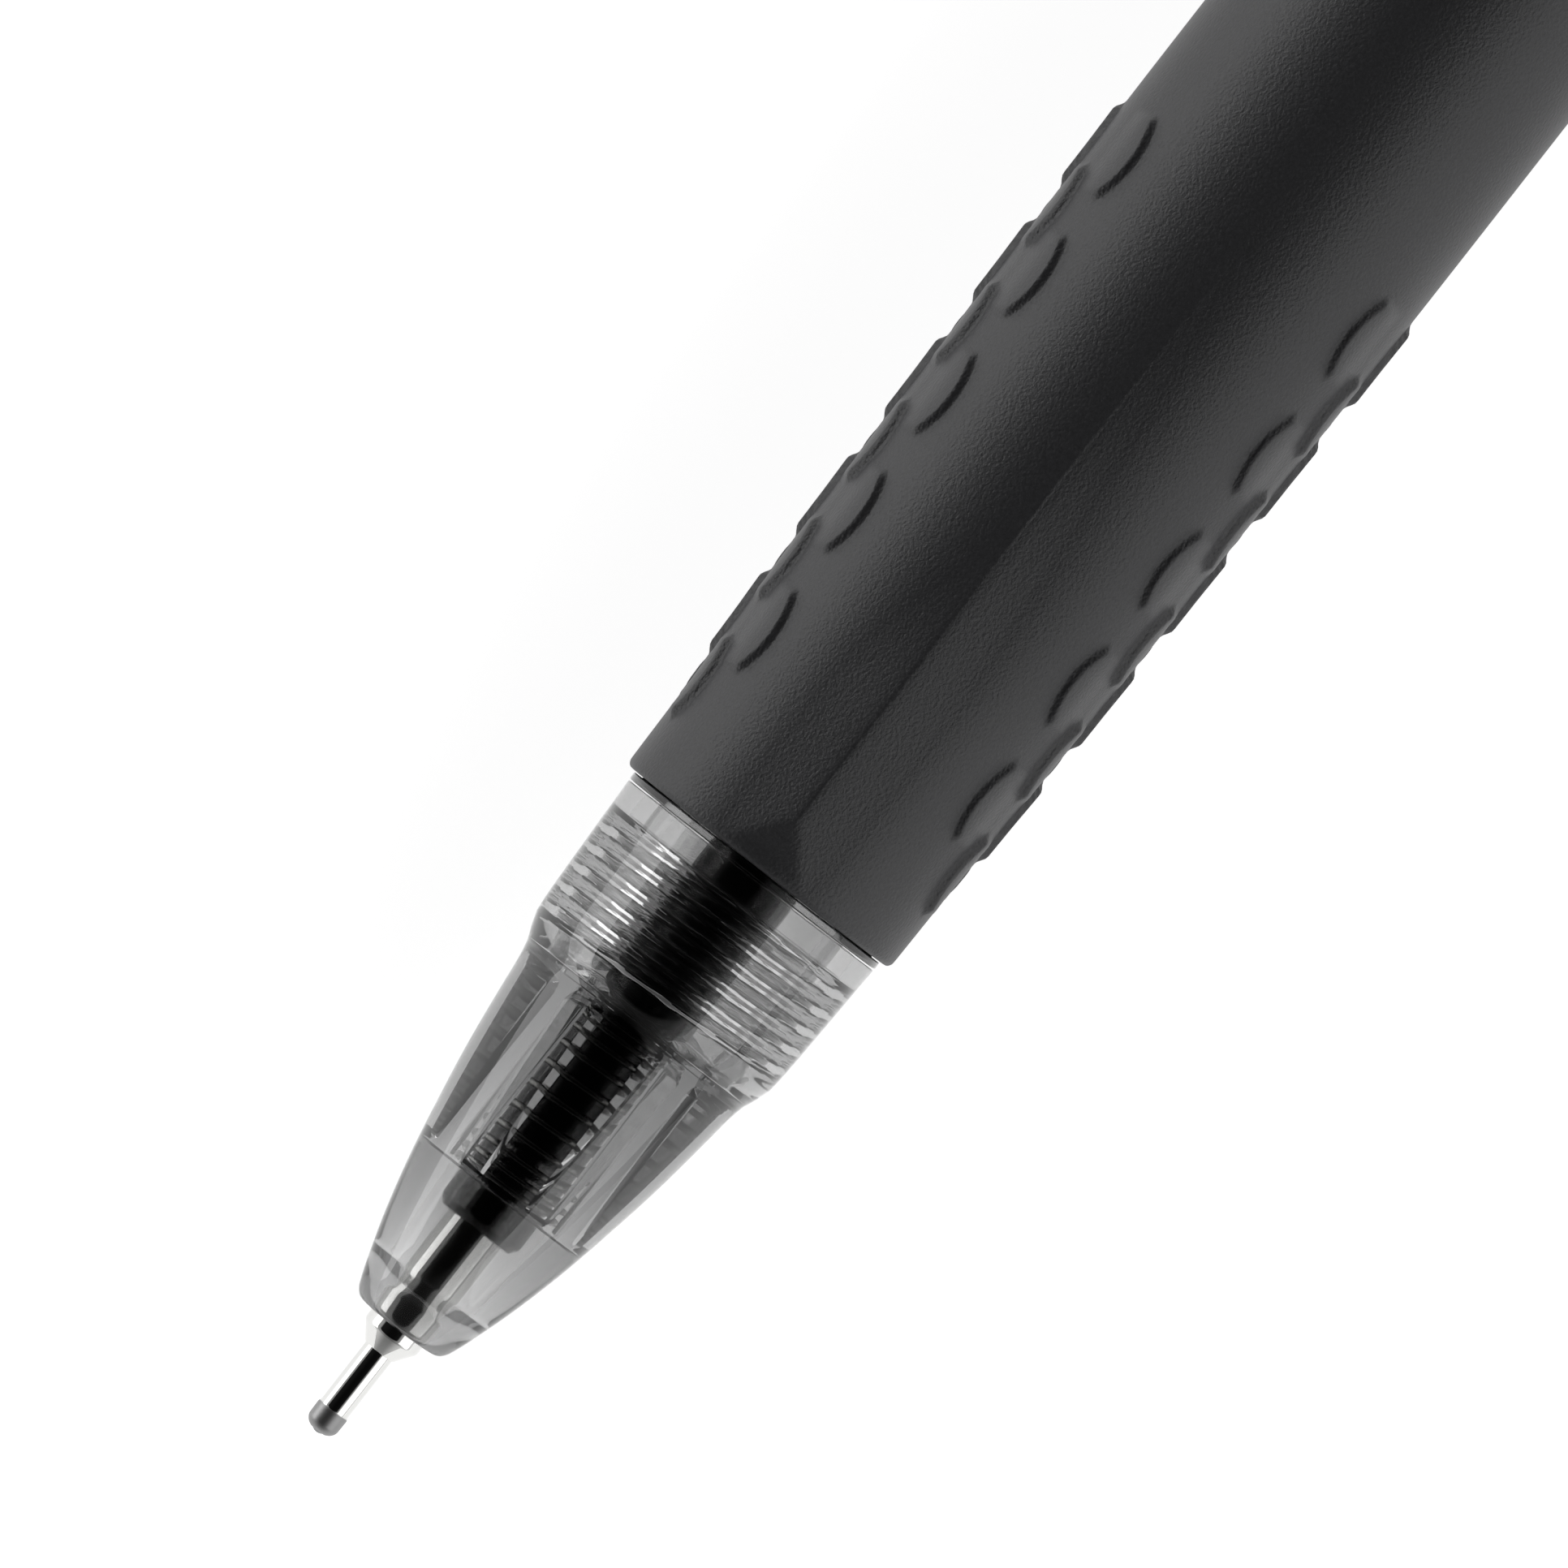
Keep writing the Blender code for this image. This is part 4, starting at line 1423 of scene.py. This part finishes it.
@dataclass
class Studio:
    """The floor, the lights, the sky and the camera."""

    floor_size: float = 3.0
    floor_color: str = "#F7F7F7"
    view_width: float = 54.1
    aim: tuple[float, float] = (27.55, 1.04)
    turn: float = 52.0
    lens: float = 200.0
    patch_lean: float = 9.0
    patch_half: float = 39.5
    patch_soft: float = 3.0
    patch_glow: float = 0.03
    horizon_glow: float = 0.8
    sky_glow: float = 0.35
    end_glow: float = 0.35
    floor_glow: float = 0.78
    key: tuple[float, float, float] = (79.0, 0.55, 4.7)
    fill: tuple[float, float, float] = (60.0, 0.70, 2.9)
    lamp_far: float = 0.9
    lamp_length: float = 1.2

    def build(self) -> None:
        """Build everything that isn't the pen."""
        self.make_floor()
        self.make_sky()
        self.make_lights()
        self.make_camera()
        bpy.context.scene.view_settings.view_transform = "Standard"

    def make_floor(self) -> None:
        """A pale floor that is lit from behind, like a light table."""
        shape = bmesh.new()
        bmesh.ops.create_grid(shape, x_segments=1, y_segments=1, size=self.floor_size / 2)
        data = bpy.data.meshes.new("floor")
        shape.to_mesh(data)
        shape.free()
        paper = bpy.data.materials.new("pale_floor")
        paper.use_nodes = True
        shader = paper.node_tree.nodes["Principled BSDF"]
        shader.inputs["Base Color"].default_value = linear_color(self.floor_color)
        shader.inputs["Roughness"].default_value = 0.9
        shader.inputs["Emission Color"].default_value = (1, 1, 1, 1)
        shader.inputs["Emission Strength"].default_value = self.floor_glow
        data.materials.append(paper)
        floor = bpy.data.objects.new("floor", data)
        bpy.context.scene.collection.objects.link(floor)

    def make_sky(self) -> None:
        """A pale horizon, darker towards the pen's ends, with a dark patch overhead."""
        world = bpy.data.worlds.new("studio")
        bpy.context.scene.world = world
        world.use_nodes = True
        tree = world.node_tree
        ground = tree.nodes["Background"]
        place = add_node(tree, "ShaderNodeTexCoord")
        lean = math.radians(self.patch_lean)
        near = add_node(
            tree,
            "ShaderNodeVectorMath",
            {0: place.outputs["Generated"], 1: (0, math.sin(lean), math.cos(lean))},
            operation="DOT_PRODUCT",
        )
        patch = add_node(
            tree,
            "ShaderNodeMapRange",
            {
                "Value": near.outputs["Value"],
                "From Min": math.cos(math.radians(self.patch_half + self.patch_soft)),
                "From Max": math.cos(math.radians(self.patch_half - self.patch_soft)),
                "To Min": 1.0,
                "To Max": self.patch_glow,
            },
            interpolation_type="SMOOTHSTEP",
        )
        parts = add_node(tree, "ShaderNodeSeparateXYZ", {"Vector": place.outputs["Generated"]})
        height = add_node(
            tree,
            "ShaderNodeMapRange",
            {
                "Value": parts.outputs["Z"],
                "From Min": 0.1,
                "From Max": 0.5,
                "To Min": self.horizon_glow,
                "To Max": self.sky_glow,
            },
            interpolation_type="SMOOTHSTEP",
        )
        across = add_node(tree, "ShaderNodeMath", {0: parts.outputs["Y"]}, operation="ABSOLUTE")
        ends = add_node(
            tree,
            "ShaderNodeMapRange",
            {
                "Value": across.outputs["Value"],
                "From Min": 0.1,
                "From Max": 0.7,
                "To Min": self.end_glow,
                "To Max": 1.0,
            },
            interpolation_type="SMOOTHSTEP",
        )
        strength = patch.outputs["Result"]
        for share in (height.outputs["Result"], ends.outputs["Result"]):
            both = add_node(tree, "ShaderNodeMath", {0: strength, 1: share}, operation="MULTIPLY")
            strength = both.outputs["Value"]
        tree.links.new(strength, ground.inputs["Strength"])
        ground.inputs["Color"].default_value = (1, 1, 1, 1)

    def make_lights(self) -> None:
        """Two long softboxes beside the pen, the one on the clip's side the stronger."""
        self.softbox("key_softbox", Vector((0, 1, 0)), *self.key)
        self.softbox("fill_softbox", Vector((0, -1, 0)), *self.fill)

    def softbox(self, name: str, side: Vector, lean: float, height: float, power: float) -> None:
        """A rectangular light that faces the pen.

        Args:
            name: the light's name.
            side: the horizontal direction that it stands in.
            lean: its angle from straight up, in degrees.
            height: its height, in metres.
            power: its power, in watts.
        """
        data = bpy.data.lights.new(name, "AREA")
        data.shape = "RECTANGLE"
        data.size, data.size_y = self.lamp_length, height
        data.energy = power
        lamp = bpy.data.objects.new(name, data)
        bpy.context.scene.collection.objects.link(lamp)
        aim = Vector((-0.04, AXIS.y, AXIS.z))
        away = side * math.sin(math.radians(lean)) + Vector((0, 0, math.cos(math.radians(lean))))
        lamp.location = aim + away * self.lamp_far
        lamp.rotation_euler = away.to_track_quat("Z", "Y").to_euler()

    def make_camera(self) -> None:
        """A long lens straight above the front of the pen, turned so that the pen runs corner to corner."""
        data = bpy.data.cameras.new("camera")
        data.lens = self.lens
        data.sensor_width = 36.0
        data.dof.use_dof = False
        camera = bpy.data.objects.new("camera", data)
        bpy.context.scene.collection.objects.link(camera)
        turn = math.radians(self.turn)
        right = Vector((math.cos(turn), -math.sin(turn), 0))
        up = Vector((math.sin(turn), math.cos(turn), 0))
        back = Vector((0, 0, 1))
        far = self.lens * self.view_width / data.sensor_width * MM
        aim = AXIS + Vector((self.aim[0] * MM, self.aim[1] * MM, 0))
        turned = Matrix((right, up, back)).transposed().to_4x4()
        camera.matrix_world = Matrix.Translation(aim + back * far) @ turned
        data.clip_start = 0.01
        data.clip_end = 10
        bpy.context.scene.camera = camera


def main() -> None:
    """Build the whole scene."""
    thread = Thread()
    NeedlePoint().build()
    Refill().build()
    ReturnSpring().build()
    Nose(thread).build()
    Barrel(thread).build()
    Grip().build()
    Knock().build()
    Rear().build()
    Studio().build()
    bpy.context.view_layer.update()


if __name__ == "__main__":
    main()
